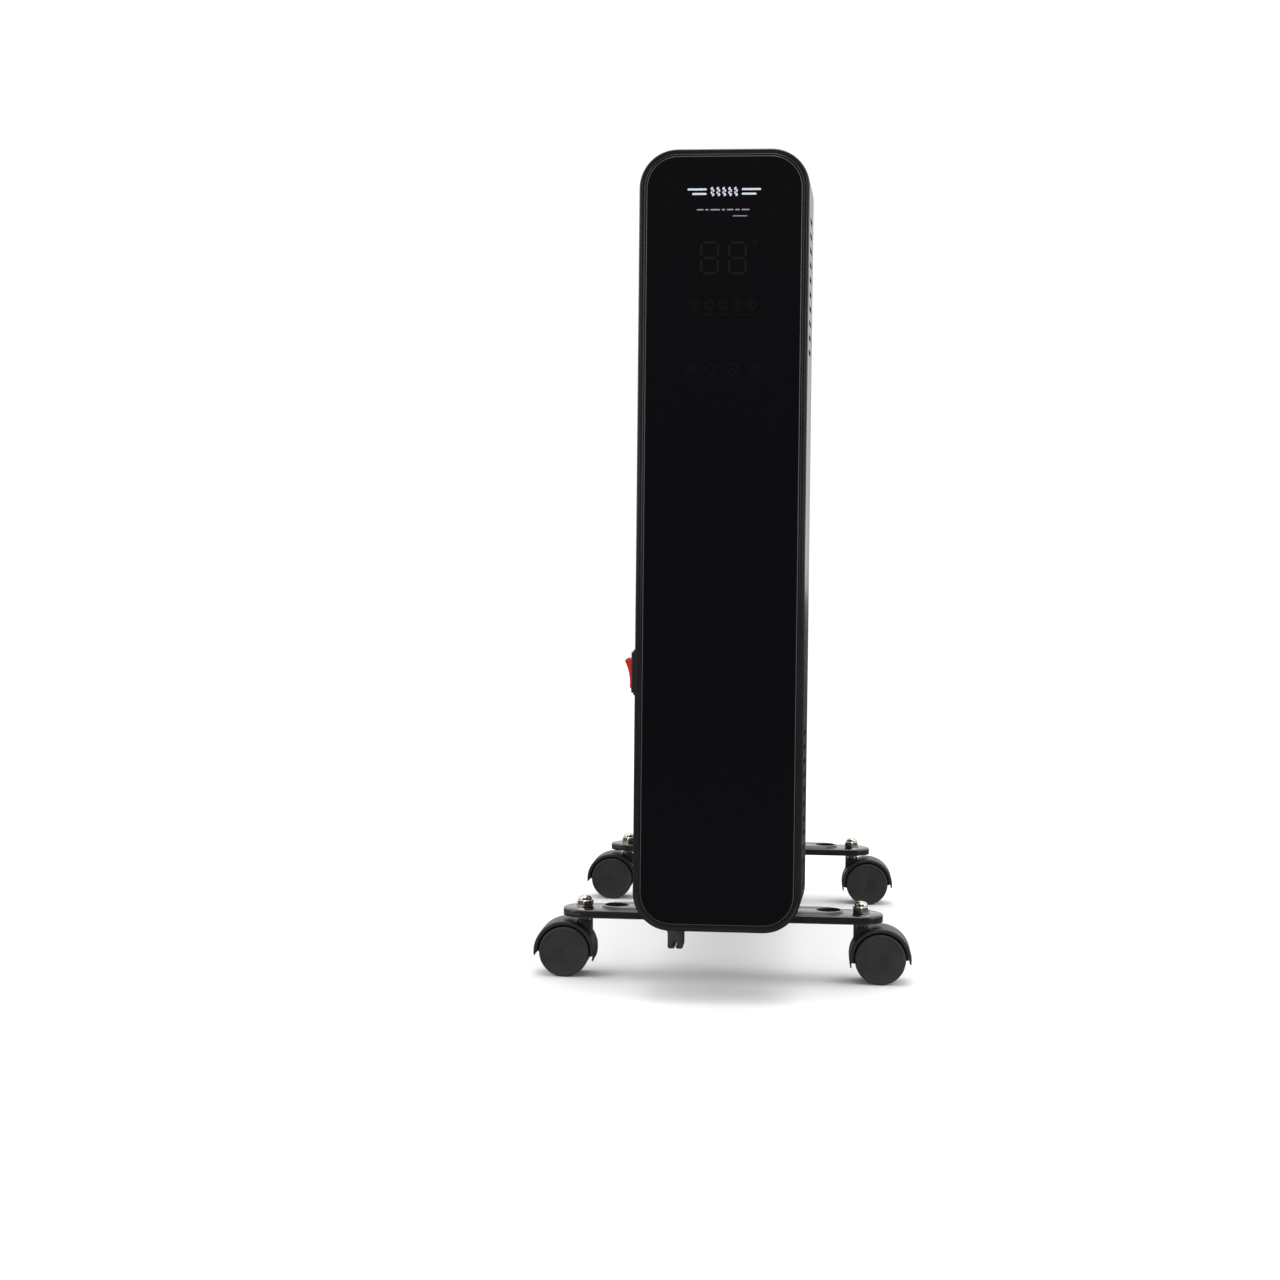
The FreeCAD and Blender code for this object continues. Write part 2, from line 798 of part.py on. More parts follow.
def make_power_board():
    """Power board on the rear side of the housing's space, with two relays on its front."""
    board_front = FRONT + sizes.power_board_setback
    simple_box(
        "power_board",
        -sizes.power_board_width / 2,
        board_front,
        sizes.power_board_bottom,
        sizes.power_board_width,
        sizes.board_thickness,
        sizes.power_board_height,
    )
    relays = []
    for side in (-1, 1):
        relays.append(simple_box(
            f"relay_{side + 2}",
            sizes.relay_width * side - sizes.relay_width / 2,
            board_front - sizes.relay_depth,
            sizes.power_board_bottom + sizes.power_board_height / 2,
            sizes.relay_width,
            sizes.relay_depth,
            sizes.relay_height,
            is_node=False,
        ))
    group("relays", relays)


def make_thermal_cutout():
    cutout = DOCUMENT.addObject("Part::Cylinder", "thermal_cutout")
    cutout.Label = "thermal_cutout"
    bind(cutout, "Radius", sizes.cutout_radius)
    bind(cutout, "Height", sizes.cutout_height)
    cutout.Placement.Rotation = FreeCAD.Rotation(FreeCAD.Vector(1, 0, 0), 90)
    bind(cutout, "Placement.Base.y", HOUSING_REAR)
    bind(cutout, "Placement.Base.z", sizes.cutout_level)
    NODES.append(cutout)


# ---- rocker switch in the left side wall ----

PIVOT_Y = FRONT + sizes.switch_setback


def make_switch_frame():
    """Switch frame round the rocker's pivot: flange, core, rocker chamber and pivot holes."""
    body = new_body("switch_frame")
    place(body, -sizes.switch_pivot_x, PIVOT_Y, sizes.switch_height)
    flange_out = sizes.switch_pivot_x - sizes.switch_flange_out
    flange_in = sizes.switch_pivot_x - sizes.switch_flange_in
    flange = centred(sizes.switch_flange_width, sizes.switch_flange_height)
    pad(body, outlined(body, "YZ_Plane", "Flange", [flange], flange_out), flange_in - flange_out)
    core = centred(sizes.switch_core_width, sizes.switch_core_height)
    pad(body, outlined(body, "YZ_Plane", "Core", [core], flange_in), sizes.switch_core_depth)
    play = sizes.switch_clearance * 2
    chamber = centred(sizes.rocker_width + play, sizes.rocker_radius * 2 + play)
    chamber_sketch = outlined(body, "YZ_Plane", "Chamber", [chamber], flange_out)
    pocket(body, chamber_sketch, sizes.rocker_floor - flange_out, backwards=True)
    bore = sizes.trunnion_radius + sizes.switch_bore_play
    pocket(body, outlined(body, "XZ_Plane", "Bore", [], 0, [(0, 0, bore)]), midplane=True)


def centred(width, height):
    return rectangle(-width / 2, -height / 2, width / 2, height / 2)


def around_pivot(radius, angle):
    """A point of the rocker at an angle from the outward direction, positive upwards."""
    return (-radius * angle.cosine(), radius * angle.sine())


def make_rocker_lever():
    """Concave rocker, shown with its upper end pressed out."""
    body = new_body("rocker_lever")
    place(body, -sizes.switch_pivot_x, PIVOT_Y, sizes.switch_height)
    radius = sizes.rocker_radius
    tilt = sizes.rocker_tilt
    upper_tip = around_pivot(radius, sizes.rocker_tip_angle - tilt)
    lower_tip = around_pivot(radius, -sizes.rocker_tip_angle - tilt)
    upper_skirt = around_pivot(radius, sizes.rocker_skirt_angle - tilt)
    lower_skirt = around_pivot(radius, -sizes.rocker_skirt_angle - tilt)
    profile = [
        (*upper_tip, sizes.rocker_face_radius, -1),
        (*lower_tip, radius, 1),
        lower_skirt,
        (sizes.rocker_hub, -sizes.rocker_hub),
        (sizes.rocker_hub, sizes.rocker_hub),
        (*upper_skirt, radius, 1),
    ]
    pad(body, outlined(body, "XZ_Plane", "Profile", [profile]), sizes.rocker_width, midplane=True)
    trunnion = outlined(body, "XZ_Plane", "Trunnion", [], 0, [(0, 0, sizes.trunnion_radius)])
    pad(body, trunnion, sizes.switch_core_width - sizes.switch_clearance, midplane=True)


def make_switch_terminals():
    """Three spade terminals at the back of the switch."""
    back = sizes.switch_core_depth - sizes.switch_flange_in
    blades = []
    for number in (-1, 0, 1):
        blades.append(simple_box(
            f"terminal_{number + 2}",
            back,
            PIVOT_Y - sizes.terminal_width / 2,
            sizes.switch_height + sizes.terminal_pitch * number,
            sizes.terminal_length,
            sizes.terminal_width,
            sizes.terminal_thickness,
            is_node=False,
        ))
    group("switch_terminals", blades)


# ---- tip-over switch on the back plate ----

TIP_CENTRE_Y = HOUSING_REAR - sizes.tip_case_depth / 2


def make_tip_switch():
    """Case with a hanging pendulum that opens the circuit when the heater leans over."""
    case = new_body("tip_switch_body")
    place(case, sizes.tip_centre_x, TIP_CENTRE_Y, sizes.tip_pivot_height)
    half_width = sizes.tip_case_width / 2
    top = sizes.tip_pin_drop
    bottom = top - sizes.tip_case_height
    wall = sizes.tip_case_wall
    outer = rectangle(-half_width, bottom, half_width, top)
    pad(case, outlined(case, "XZ_Plane", "Outer", [outer]), sizes.tip_case_depth, midplane=True)
    inner = rectangle(wall - half_width, bottom + wall, half_width - wall, top - wall)
    front = -sizes.tip_case_depth / 2
    pocket(case, outlined(case, "XZ_Plane", "Inner", [inner], front), sizes.tip_case_depth - wall)
    pin = [(0, 0, sizes.tip_pin_radius)]
    pin_sketch = outlined(case, "XZ_Plane", "Pin", [], front, pin)
    pad(case, pin_sketch, sizes.tip_case_depth - wall / 2, backwards=True)

    pendulum = new_body("tip_switch_pendulum")
    place(pendulum, sizes.tip_centre_x, TIP_CENTRE_Y, sizes.tip_pivot_height)
    thickness = sizes.tip_weight_thickness
    weight = [(0, -sizes.tip_weight_drop, sizes.tip_weight_radius)]
    pad(pendulum, outlined(pendulum, "XZ_Plane", "Weight", [], 0, weight), thickness, midplane=True)
    half = sizes.tip_arm_half
    arm = rectangle(-half, -sizes.tip_weight_drop, half, half)
    pad(pendulum, outlined(pendulum, "XZ_Plane", "Arm", [arm]), thickness / 2, midplane=True)
    bore = sizes.tip_pin_radius + sizes.tip_bore_play
    pocket(pendulum, outlined(pendulum, "XZ_Plane", "Bore", [], 0, [(0, 0, bore)]), midplane=True)


# ---- cord gland and cord clip ----

def make_cord_gland():
    """Flanged gland through the housing's bottom wall."""
    body = new_body("cord_gland")
    place(body, sizes.gland_x, FRONT + sizes.gland_setback, sizes.panel_bottom)
    profile = [
        (sizes.gland_bore, -sizes.gland_below),
        (sizes.gland_flange, -sizes.gland_below),
        (sizes.gland_flange, 0),
        (sizes.gland_neck, 0),
        (sizes.gland_neck, sizes.wall),
        (sizes.gland_flange, sizes.wall),
        (sizes.gland_flange, sizes.gland_above),
        (sizes.gland_bore, sizes.gland_above),
    ]
    revolve(body, outlined(body, "XZ_Plane", "Profile", [profile]))


def make_cord_clip():
    """Split clip under the housing: two springy lobes round a channel, held by a snap stud."""
    body = new_body("cord_clip")
    place(body, sizes.clip_x, FRONT + sizes.gland_setback)
    half = sizes.clip_width / 2
    block = rectangle(-half, sizes.clip_bottom, half, sizes.panel_bottom)
    solid = pad(body, outlined(body, "XZ_Plane", "Block", [block]), sizes.clip_length, midplane=True)
    bottom = sizes.clip_bottom.value
    lobes = edge_names(
        solid,
        lambda edge: along(edge, FreeCAD.Vector(0, 1, 0)) and at_level(edge, 2, bottom),
    )
    round_edges(body, solid, lobes, sizes.clip_lobe_round)
    channel = [(0, sizes.clip_channel_height, sizes.clip_channel_radius)]
    half_slot = sizes.clip_slot / 2
    slot = rectangle(-half_slot, sizes.clip_bottom - 1, half_slot, sizes.clip_channel_height)
    pocket(body, outlined(body, "XZ_Plane", "Channel", [], 0, channel), midplane=True)
    pocket(body, outlined(body, "XZ_Plane", "Slot", [slot]), midplane=True)
    stud = [(0, 0, sizes.clip_stud_radius)]
    pad(body, outlined(body, "XY_Plane", "Stud", [], sizes.panel_bottom, stud), sizes.wall)
    head = [(0, 0, sizes.clip_stud_head)]
    head_sketch = outlined(body, "XY_Plane", "Head", [], sizes.panel_bottom + sizes.wall, head)
    pad(body, head_sketch, sizes.clip_stud_radius)


# ---- fins ----

def hub_profile(inset):
    """Half section of a hub round its axis, drawn smaller by inset."""
    neck = sizes.hub_radius - inset
    foot = sizes.hub_foot_radius - inset
    half = sizes.fin_pitch / 2 - inset
    rim = sizes.hub_rim
    upper_side = [
        (foot, sizes.hub_foot_depth),
        (neck, sizes.hub_neck_depth + inset / 2),
        (neck, half - rim),
        (neck - rim, half),
        (0, half),
    ]
    lower_side = [(x, -as_size(y)) for x, y in reversed(upper_side)]
    return lower_side + upper_side


def tank_outlines(inset):
    """The pressed oil tank's outline and the two flat windows between its three channels."""
    bottom = sizes.fin_bottom + sizes.tank_margin + inset
    top = sizes.fin_top - sizes.tank_margin - inset
    half = sizes.tank_width / 2 - inset
    outlines = [rounded_rectangle(-half, bottom, half, top, sizes.tank_corner - inset)]
    low = sizes.fin_bottom + sizes.tank_margin + sizes.header_height - inset
    high = sizes.fin_top - sizes.tank_margin - sizes.header_height + inset
    near = sizes.window_inner - inset
    far = sizes.window_outer + inset
    corner = sizes.fin_window_corner + inset / 2
    outlines.append(rounded_rectangle(near, low, far, high, corner))
    outlines.append(rounded_rectangle(-far, low, -near, high, corner))
    return outlines


def fin_form(name, inset):
    """The tank with rounded pressed edges and its two hubs, drawn smaller by inset."""
    body = new_body(name, is_node=False)
    tank_sketch = outlined(body, "XZ_Plane", "Tank", tank_outlines(inset))
    thickness = sizes.tank_thickness - inset * 2
    tank = pad(body, tank_sketch, thickness, midplane=True)
    half = thickness.value / 2
    rims = edge_names(tank, lambda edge: at_level(edge, 1, half) or at_level(edge, 1, -half))
    round_edges(body, tank, rims, sizes.tank_edge_round - inset)
    for level, hub_name in ((LOWER_HUB, "LowerHub"), (UPPER_HUB, "UpperHub")):
        revolve(body, outlined(body, "XY_Plane", hub_name, [hub_profile(inset)], level))
    return body


def keep_inside(whole, label, low, high):
    """The share of a shape that lies in the box between two corners."""
    block = DOCUMENT.addObject("Part::Box", f"{label}_space")
    for axis, side, start, end in zip("xyz", ("Length", "Width", "Height"), low, high):
        bind(block, f"Placement.Base.{axis}", start)
        bind(block, side, end - start)
    share = DOCUMENT.addObject("Part::Common", label)
    share.Base = whole
    share.Tool = block
    return share


def make_fins():
    """Hollow fins of pressed sheet steel: each a tank and the four collars that meet its neighbours."""
    outside = fin_form("fin_outside", as_size(0))
    flange = rounded_rectangle(
        -sizes.fin_width / 2, sizes.fin_bottom, sizes.fin_width / 2, sizes.fin_top, sizes.fin_corner
    )
    flange_sketch = outlined(outside, "XZ_Plane", "Flange", [flange])
    pad(outside, flange_sketch, sizes.sheet_steel * 2, midplane=True)
    openings = [(0, LOWER_HUB, sizes.hub_opening), (0, UPPER_HUB, sizes.hub_opening)]
    pocket(outside, outlined(outside, "XZ_Plane", "Openings", [], 0, openings), midplane=True)
    cavity = fin_form("fin_cavity", sizes.sheet_steel)
    hollow = DOCUMENT.addObject("Part::Cut", "fin_hollow")
    hollow.Base = outside
    hollow.Tool = cavity
    half_width = sizes.fin_width / 2
    face = sizes.tank_thickness / 2
    hub_end = sizes.fin_pitch / 2
    tank_low = (-half_width, -face, sizes.fin_bottom)
    tank_high = (half_width, face, sizes.fin_top)
    members = [keep_inside(hollow, "fin_tank", tank_low, tank_high)]
    reach = sizes.hub_foot_radius
    for name, level in (("lower", LOWER_HUB), ("upper", UPPER_HUB)):
        low = (-reach, -hub_end, level - reach)
        high = (reach, -face, level + reach)
        members.append(keep_inside(hollow, f"fin_{name}_front_collar", low, high))
        low = (-reach, face, level - reach)
        high = (reach, hub_end, level + reach)
        members.append(keep_inside(hollow, f"fin_{name}_rear_collar", low, high))
    for number in range(SIZES["fin_count"]):
        fin = group(f"fin_{number + 1:02d}", members)
        place(fin, y=FIRST_FIN + sizes.fin_pitch * number)


def make_end_caps():
    """Dished caps that close the three hubs with no neighbour, and the oil fill plug in one."""
    original = new_body("hub_end_cap", is_node=False)
    depth = sizes.cap_dish_depth
    thick = sizes.cap_thickness
    dish = sizes.cap_dish_radius
    profile = [
        (0, depth),
        (dish, depth),
        (dish + thick * 1.5, 0),
        (sizes.hub_opening, 0),
        (sizes.hub_opening, thick),
        (dish + thick * 2.5, thick),
        (dish + thick, depth + thick),
        (0, depth + thick),
    ]
    revolve(original, outlined(original, "XY_Plane", "Profile", [profile]))
    front_upper = clone_body(original, "front_upper_cap", is_node=False)
    place(front_upper, y=HUB_FRONT, z=UPPER_HUB)
    rear_lower = clone_body(original, "rear_lower_cap", is_node=False)
    place(rear_lower, y=HUB_REAR, z=LOWER_HUB, turn=180)
    rear_upper = clone_body(original, "rear_upper_cap", is_node=False)
    place(rear_upper, y=HUB_REAR, z=UPPER_HUB, turn=180)
    DOCUMENT.recompute()
    hole = outlined(rear_upper, "XZ_Plane", "Hole", [], 0, [(0, 0, sizes.fill_plug_radius)])
    pocket(rear_upper, hole, midplane=True)
    group("hub_end_caps", [front_upper, rear_lower, rear_upper])

    plug = new_body("oil_fill_plug")
    place(plug, y=HUB_REAR - depth, z=UPPER_HUB)
    head = outlined(plug, "XZ_Plane", "Head", [hexagon(sizes.fill_plug_flats)])
    pad(plug, head, sizes.fill_plug_head, backwards=True)
    shank = outlined(plug, "XZ_Plane", "Shank", [], 0, [(0, 0, sizes.fill_plug_radius)])
    pad(plug, shank, sizes.fill_plug_radius * 2)


# ---- heating element ----

def make_heating_element():
    """Two tubular loops in the lower hub row, with their flange and gasket."""
    original = new_body("element_loop", is_node=False)
    gap = sizes.element_half_gap
    start = HOUSING_REAR - sizes.flange_thickness - sizes.element_terminal
    bend = start + sizes.element_length
    path = new_sketch(original, "YZ_Plane", "Path")
    corners = [(start, -gap), (bend, -gap, gap, 1), (bend + gap, 0, gap, 1), (bend, gap), (start, gap)]
    add_outline(path, corners, closed=False)
    tube = outlined(original, "XZ_Plane", "Tube", [], start, [(0, -gap, sizes.element_radius)])
    sweep(original, tube, path)
    loops = []
    for side in (-1, 1):
        loop = clone_body(original, f"element_loop_{side + 2}", is_node=False)
        place(loop, sizes.element_spacing * side, 0, LOWER_HUB)
        loops.append(loop)
    group("heating_element", loops)

    flange = new_body("element_flange")
    place(flange, y=HOUSING_REAR, z=LOWER_HUB)
    disc = outlined(flange, "XZ_Plane", "Disc", [], 0, [(0, 0, sizes.flange_radius)])
    pad(flange, disc, sizes.flange_thickness)
    holes = []
    for x in (-sizes.element_spacing, sizes.element_spacing):
        for z in (-gap, gap):
            holes.append((x, z, sizes.element_radius))
    pocket(flange, outlined(flange, "XZ_Plane", "Holes", [], 0, holes), midplane=True)

    gasket = new_body("element_gasket")
    place(gasket, y=HOUSING_REAR, z=LOWER_HUB)
    rings = [(0, 0, sizes.flange_radius), (0, 0, sizes.gasket_inner)]
    ring_sketch = outlined(gasket, "XZ_Plane", "Ring", [], 0, rings)
    pad(gasket, ring_sketch, sizes.back_plate_thickness, backwards=True)


# ---- foot bars and what clamps them ----

def make_foot_bars():
    """Pressed steel bars with round ends, a turned-down skirt and a raised middle pad."""
    front = new_body("front_foot_bar")
    place(front, y=FRONT_BAR)
    sheet = sizes.bar_sheet
    skirt = sizes.bar_skirt_bottom
    outer = outlined(front, "XY_Plane", "Outer", [stadium(0, 0, sizes.bar_length, sizes.bar_width)], skirt)
    plate = pad(front, outer, sizes.bar_top - skirt)
    top = sizes.bar_top.value
    round_edges(front, plate, edge_names(plate, lambda edge: at_level(edge, 2, top)), sizes.bar_edge_round)
    raised = stadium(0, 0, sizes.raised_length, sizes.raised_width)
    raised_pad = pad(
        front,
        outlined(front, "XY_Plane", "Raised", [raised], sizes.bar_top - sheet),
        sizes.raised_top - sizes.bar_top + sheet,
    )
    ramp = front.newObject("PartDesign::Chamfer", "RaisedRamp")
    level = sizes.raised_top.value
    ramp.Base = (raised_pad, edge_names(raised_pad, lambda edge: at_level(edge, 2, level)))
    bind(ramp, "Size", sizes.raised_ramp)
    DOCUMENT.recompute()
    inner = stadium(0, 0, sizes.bar_length - sheet * 2, sizes.bar_width - sheet * 2)
    inner_sketch = outlined(front, "XY_Plane", "Inner", [inner], skirt)
    pocket(front, inner_sketch, sizes.bar_top - skirt - sheet, backwards=True)
    under = stadium(0, 0, sizes.raised_length - sheet * 3, sizes.raised_width - sheet * 3)
    under_sketch = outlined(front, "XY_Plane", "Under", [under], skirt)
    pocket(front, under_sketch, sizes.raised_top - skirt - sheet, backwards=True)
    reach = sizes.bar_middle_half
    half = sizes.bar_width / 2
    front_lip = rectangle(-reach, -half, reach, sheet - half)
    lip_sketch = outlined(front, "XY_Plane", "FrontLip", [front_lip], sizes.bar_middle_bottom)
    pad(front, lip_sketch, skirt - sizes.bar_middle_bottom)
    back_gap = rectangle(-reach, half - sheet * 2, reach, half + sheet)
    back_sketch = outlined(front, "XY_Plane", "BackGap", [back_gap], skirt)
    pocket(front, back_sketch, sizes.bar_back_open - skirt, backwards=True)
    holes = []
    for side in (-1, 1):
        holes.append((sizes.bar_hole_x * side, 0, sizes.bar_hole_radius))
        holes.append((sizes.stem_x * side, 0, sizes.stem_hole))
        holes.append((U_BOLT_REACH * side, 0, sizes.u_bolt_rod + sizes.u_bolt_play * 2))
    pocket(front, outlined(front, "XY_Plane", "Holes", [], 0, holes), midplane=True)
    rear = clone_body(front, "rear_foot_bar")
    place(rear, y=REAR_BAR)


U_BOLT_REACH = sizes.hub_radius + sizes.u_bolt_play + sizes.u_bolt_rod


def make_u_bolts():
    """U-bolts over the lower hubs, with saddles under the hubs and nuts under the bars."""
    front = new_body("front_u_bolt")
    place(front, y=FRONT_BAR)
    reach = U_BOLT_REACH
    bottom = sizes.u_bolt_bottom
    path = new_sketch(front, "XZ_Plane", "Path")
    over_hub = [
        (reach, bottom),
        (reach, LOWER_HUB, reach, 1),
        (0, LOWER_HUB + reach, reach, 1),
        (-reach, LOWER_HUB),
        (-reach, bottom),
    ]
    add_outline(path, over_hub, closed=False)
    rod = outlined(front, "XY_Plane", "Rod", [], bottom, [(reach, 0, sizes.u_bolt_rod)])
    sweep(front, rod, path)
    rear = clone_body(front, "rear_u_bolt")
    place(rear, y=REAR_BAR)

    nut = new_body("u_bolt_nut", is_node=False)
    hole = [(0, 0, sizes.u_bolt_rod)]
    pad(nut, outlined(nut, "XY_Plane", "Hex", [hexagon(sizes.u_nut_flats)], 0, hole), sizes.u_nut_height)
    nut_level = sizes.raised_top - sizes.bar_sheet - sizes.u_nut_height
    nuts = []
    saddle = new_body("hub_saddle", is_node=False)
    half = sizes.saddle_width / 2
    seat = sizes.hub_radius + sizes.u_bolt_play
    side_view = rectangle(-half, sizes.raised_top, half, sizes.saddle_top)
    pad(saddle, outlined(saddle, "XZ_Plane", "Block", [side_view]), sizes.saddle_depth, midplane=True)
    pocket(saddle, outlined(saddle, "XZ_Plane", "Seat", [], 0, [(0, LOWER_HUB, seat)]), midplane=True)
    saddles = []
    for name, level in (("front", FRONT_BAR), ("rear", REAR_BAR)):
        for side in (-1, 1):
            clone = clone_body(nut, f"u_bolt_nut_{name}_{side + 2}", is_node=False)
            place(clone, reach * side, level, nut_level)
            nuts.append(clone)
        clone = clone_body(saddle, f"hub_saddle_{name}", is_node=False)
        place(clone, y=level)
        saddles.append(clone)
    group("u_bolt_nuts", nuts)
    group("hub_saddles", saddles)


# ---- casters ----

CORNERS = (
    ("front_left", -1, FRONT_BAR),
    ("front_right", 1, FRONT_BAR),
    ("rear_left", -1, REAR_BAR),
    ("rear_right", 1, REAR_BAR),
)


def on_hood(radius, angle):
    """A point of the hood round the axle, in the fork's own frame."""
    angle = as_size(angle)
    return (sizes.caster_trail + radius * angle.cosine(), sizes.wheel_radius + radius * angle.sine())


def caster_fork():
    """Hooded fork: a cover over both wheels, a web between them and the swivel neck."""
    body = new_body(f"{CORNERS[0][0]}_caster_fork")
    outer = sizes.hood_outer
    inner = sizes.hood_inner
    near = -sizes.hood_outer_tip
    far = 180 + sizes.hood_inner_tip
    cover = [
        (*on_hood(outer, near), outer, 1),
        (*on_hood(outer, 90), outer, 1),
        on_hood(outer, far),
        (*on_hood(inner, far), inner, -1),
        (*on_hood(inner, 90), inner, -1),
        on_hood(inner, near),
    ]
    depth = (sizes.web_half + sizes.wheel_gap + sizes.wheel_width) * 2
    hood = pad(body, outlined(body, "XZ_Plane", "Cover", [cover]), depth, midplane=True)
    half_depth = depth.value / 2
    trail = sizes.caster_trail.value
    axle_height = sizes.wheel_radius.value
    radius = outer.value

    def on_outer_rim(edge):
        start = edge.Vertexes[0].Point
        reach = math.hypot(start.x - trail, start.z - axle_height)
        sideways = at_level(edge, 1, half_depth) or at_level(edge, 1, -half_depth)
        return sideways and edge.Curve.TypeId == "Part::GeomCircle" and abs(reach - radius) < 0.01

    round_edges(body, hood, edge_names(hood, on_outer_rim), sizes.hood_edge_round)
    overlap = (outer + inner) / 2
    web = [
        (*on_hood(overlap, near), overlap, 1),
        (*on_hood(overlap, 90), overlap, 1),
        on_hood(overlap, far),
    ]
    pad(body, outlined(body, "XZ_Plane", "Web", [web]), sizes.web_half * 2, midplane=True)
    axle_point = (sizes.caster_trail, sizes.wheel_radius)
    boss = outlined(body, "XZ_Plane", "AxleBoss", [], 0, [(*axle_point, sizes.axle_boss)])
    pad(body, boss, sizes.web_half * 2, midplane=True)
    neck = outlined(body, "XY_Plane", "Neck", [], sizes.fork_neck_bottom, [(0, 0, sizes.fork_neck_radius)])
    pad(body, neck, sizes.fork_top - sizes.fork_neck_bottom)
    bore = [(0, 0, sizes.stem_pin_radius + sizes.stem_play)]
    bore_sketch = outlined(body, "XY_Plane", "StemBore", [], sizes.fork_top, bore)
    pocket(body, bore_sketch, sizes.fork_top - sizes.stem_pin_bottom + sizes.wheel_gap)
    axle_bore = outlined(body, "XZ_Plane", "AxleBore", [], 0, [(*axle_point, sizes.axle_radius)])
    pocket(body, axle_bore, midplane=True)
    return body


def caster_wheel():
    """One moulded wheel: hub, closed outer face and rim. Its inner side is at y = 0."""
    body = new_body(f"{CORNERS[0][0]}_wheel_inner")
    bore = sizes.axle_radius + sizes.axle_play
    hub = sizes.wheel_hub_radius
    rim = sizes.wheel_rim_inner
    radius = sizes.wheel_radius
    width = sizes.wheel_width
    corner = sizes.tyre_round
    face = width - sizes.wheel_gap
    inside = face - sizes.wheel_face_thickness
    profile = [
        (bore, 0),
        (hub, 0),
        (hub, inside),
        (rim, inside),
        (rim, sizes.wheel_gap),
        (radius - corner, sizes.wheel_gap, corner, 1),
        (radius, corner + sizes.wheel_gap),
        (radius, width - corner, corner, 1),
        (radius - corner, width),
        (rim + sizes.wheel_gap, width),
        (rim, face),
        (0, face),
        (0, inside),
        (bore, inside),
    ]
    revolve(body, outlined(body, "XY_Plane", "Profile", [profile]))
    return body


def caster_stem():
    """Threaded stem: pin in the fork, collar under the bar and thread up into the cap nut."""
    body = new_body("caster_stem", is_node=False)
    collar_bottom = sizes.fork_top + sizes.stem_collar_gap
    collar_top = sizes.bar_top - sizes.bar_sheet
    profile = [
        (0, sizes.stem_pin_bottom),
        (sizes.stem_pin_radius, sizes.stem_pin_bottom),
        (sizes.stem_pin_radius, collar_bottom),
        (sizes.stem_collar_radius, collar_bottom),
        (sizes.stem_collar_radius, collar_top),
        (sizes.stem_thread_radius, collar_top),
        (sizes.stem_thread_radius, sizes.stem_thread_top),
        (0, sizes.stem_thread_top),
    ]
    revolve(body, outlined(body, "XZ_Plane", "Profile", [profile]))
    return body


def cap_nut():
    """Hexagonal nut with a closed dome. Its seat is at z = 0."""
    body = new_body("cap_nut", is_node=False)
    pad(body, outlined(body, "XY_Plane", "Hex", [hexagon(sizes.cap_nut_flats)]), sizes.cap_nut_hex_height)
    dome = sizes.cap_nut_dome
    shoulder = sizes.cap_nut_height - dome
    profile = [(0, 0), (dome, 0), (dome, shoulder, dome, 1), (0, sizes.cap_nut_height)]
    revolve(body, outlined(body, "XZ_Plane", "Dome", [profile]))
    bore = outlined(body, "XY_Plane", "Bore", [], 0, [(0, 0, sizes.stem_thread_radius)])
    pocket(body, bore, sizes.stem_thread_top - sizes.bar_top + sizes.wheel_gap, backwards=True)
    return body


def make_casters():
    """Four casters under the bars' ends, all trailing outwards."""
    fork = caster_fork()
    wheel = caster_wheel()
    stem = caster_stem()
    nut = cap_nut()
    stems = []
    nuts = []
    wheel_offset = sizes.web_half + sizes.wheel_gap
    for corner, side, bar in CORNERS:
        turn = 0 if side > 0 else 180
        stem_x = sizes.stem_x * side
        axle_x = (sizes.stem_x + sizes.caster_trail) * side
        first = corner == CORNERS[0][0]
        place(fork if first else clone_body(fork, f"{corner}_caster_fork"), stem_x, bar, 0, turn)
        inner = wheel if first else clone_body(wheel, f"{corner}_wheel_inner")
        outer = clone_body(wheel, f"{corner}_wheel_outer")
        place(inner, axle_x, bar + wheel_offset, sizes.wheel_radius)
        place(outer, axle_x, bar - wheel_offset, sizes.wheel_radius, 180)
        axle = DOCUMENT.addObject("Part::Cylinder", f"{corner}_axle")
        axle.Label = f"{corner}_axle"
        half_axle = wheel_offset + sizes.wheel_width - sizes.wheel_face_thickness - sizes.wheel_gap * 2
        bind(axle, "Radius", sizes.axle_radius)
        bind(axle, "Height", half_axle * 2)
        axle.Placement.Rotation = FreeCAD.Rotation(FreeCAD.Vector(1, 0, 0), -90)
        bind(axle, "Placement.Base.x", axle_x)
        bind(axle, "Placement.Base.y", bar - half_axle)
        bind(axle, "Placement.Base.z", sizes.wheel_radius)
        NODES.append(axle)
        stem_copy = clone_body(stem, f"{corner}_stem", is_node=False)
        place(stem_copy, stem_x, bar)
        stems.append(stem_copy)
        nut_copy = clone_body(nut, f"{corner}_cap_nut", is_node=False)
        place(nut_copy, stem_x, bar, sizes.bar_top)
        nuts.append(nut_copy)
    group("caster_stems", stems)
    group("cap_nuts", nuts)


# ---- the whole object ----

def check_document():
    """Stops on a failed object, a missing or broken shape, or a node in more pieces than meant."""
    for made in DOCUMENT.Objects:
        if "Invalid" in made.State or "Error" in made.State:
            raise RuntimeError(f"{made.Name} failed: {made.State}")
    for made in NODES:
        if made.Shape.isNull() or not made.Shape.isValid():
            raise RuntimeError(f"{made.Label} has no valid shape")
        if made.TypeId != "Part::Compound" and len(made.Shape.Solids) != 1:
            raise RuntimeError(f"{made.Label} has {len(made.Shape.Solids)} solids")


def export_nodes():
    os.makedirs("parts", exist_ok=True)
    for made in NODES:
        made.Shape.exportStep(f"parts/{made.Label}.step")


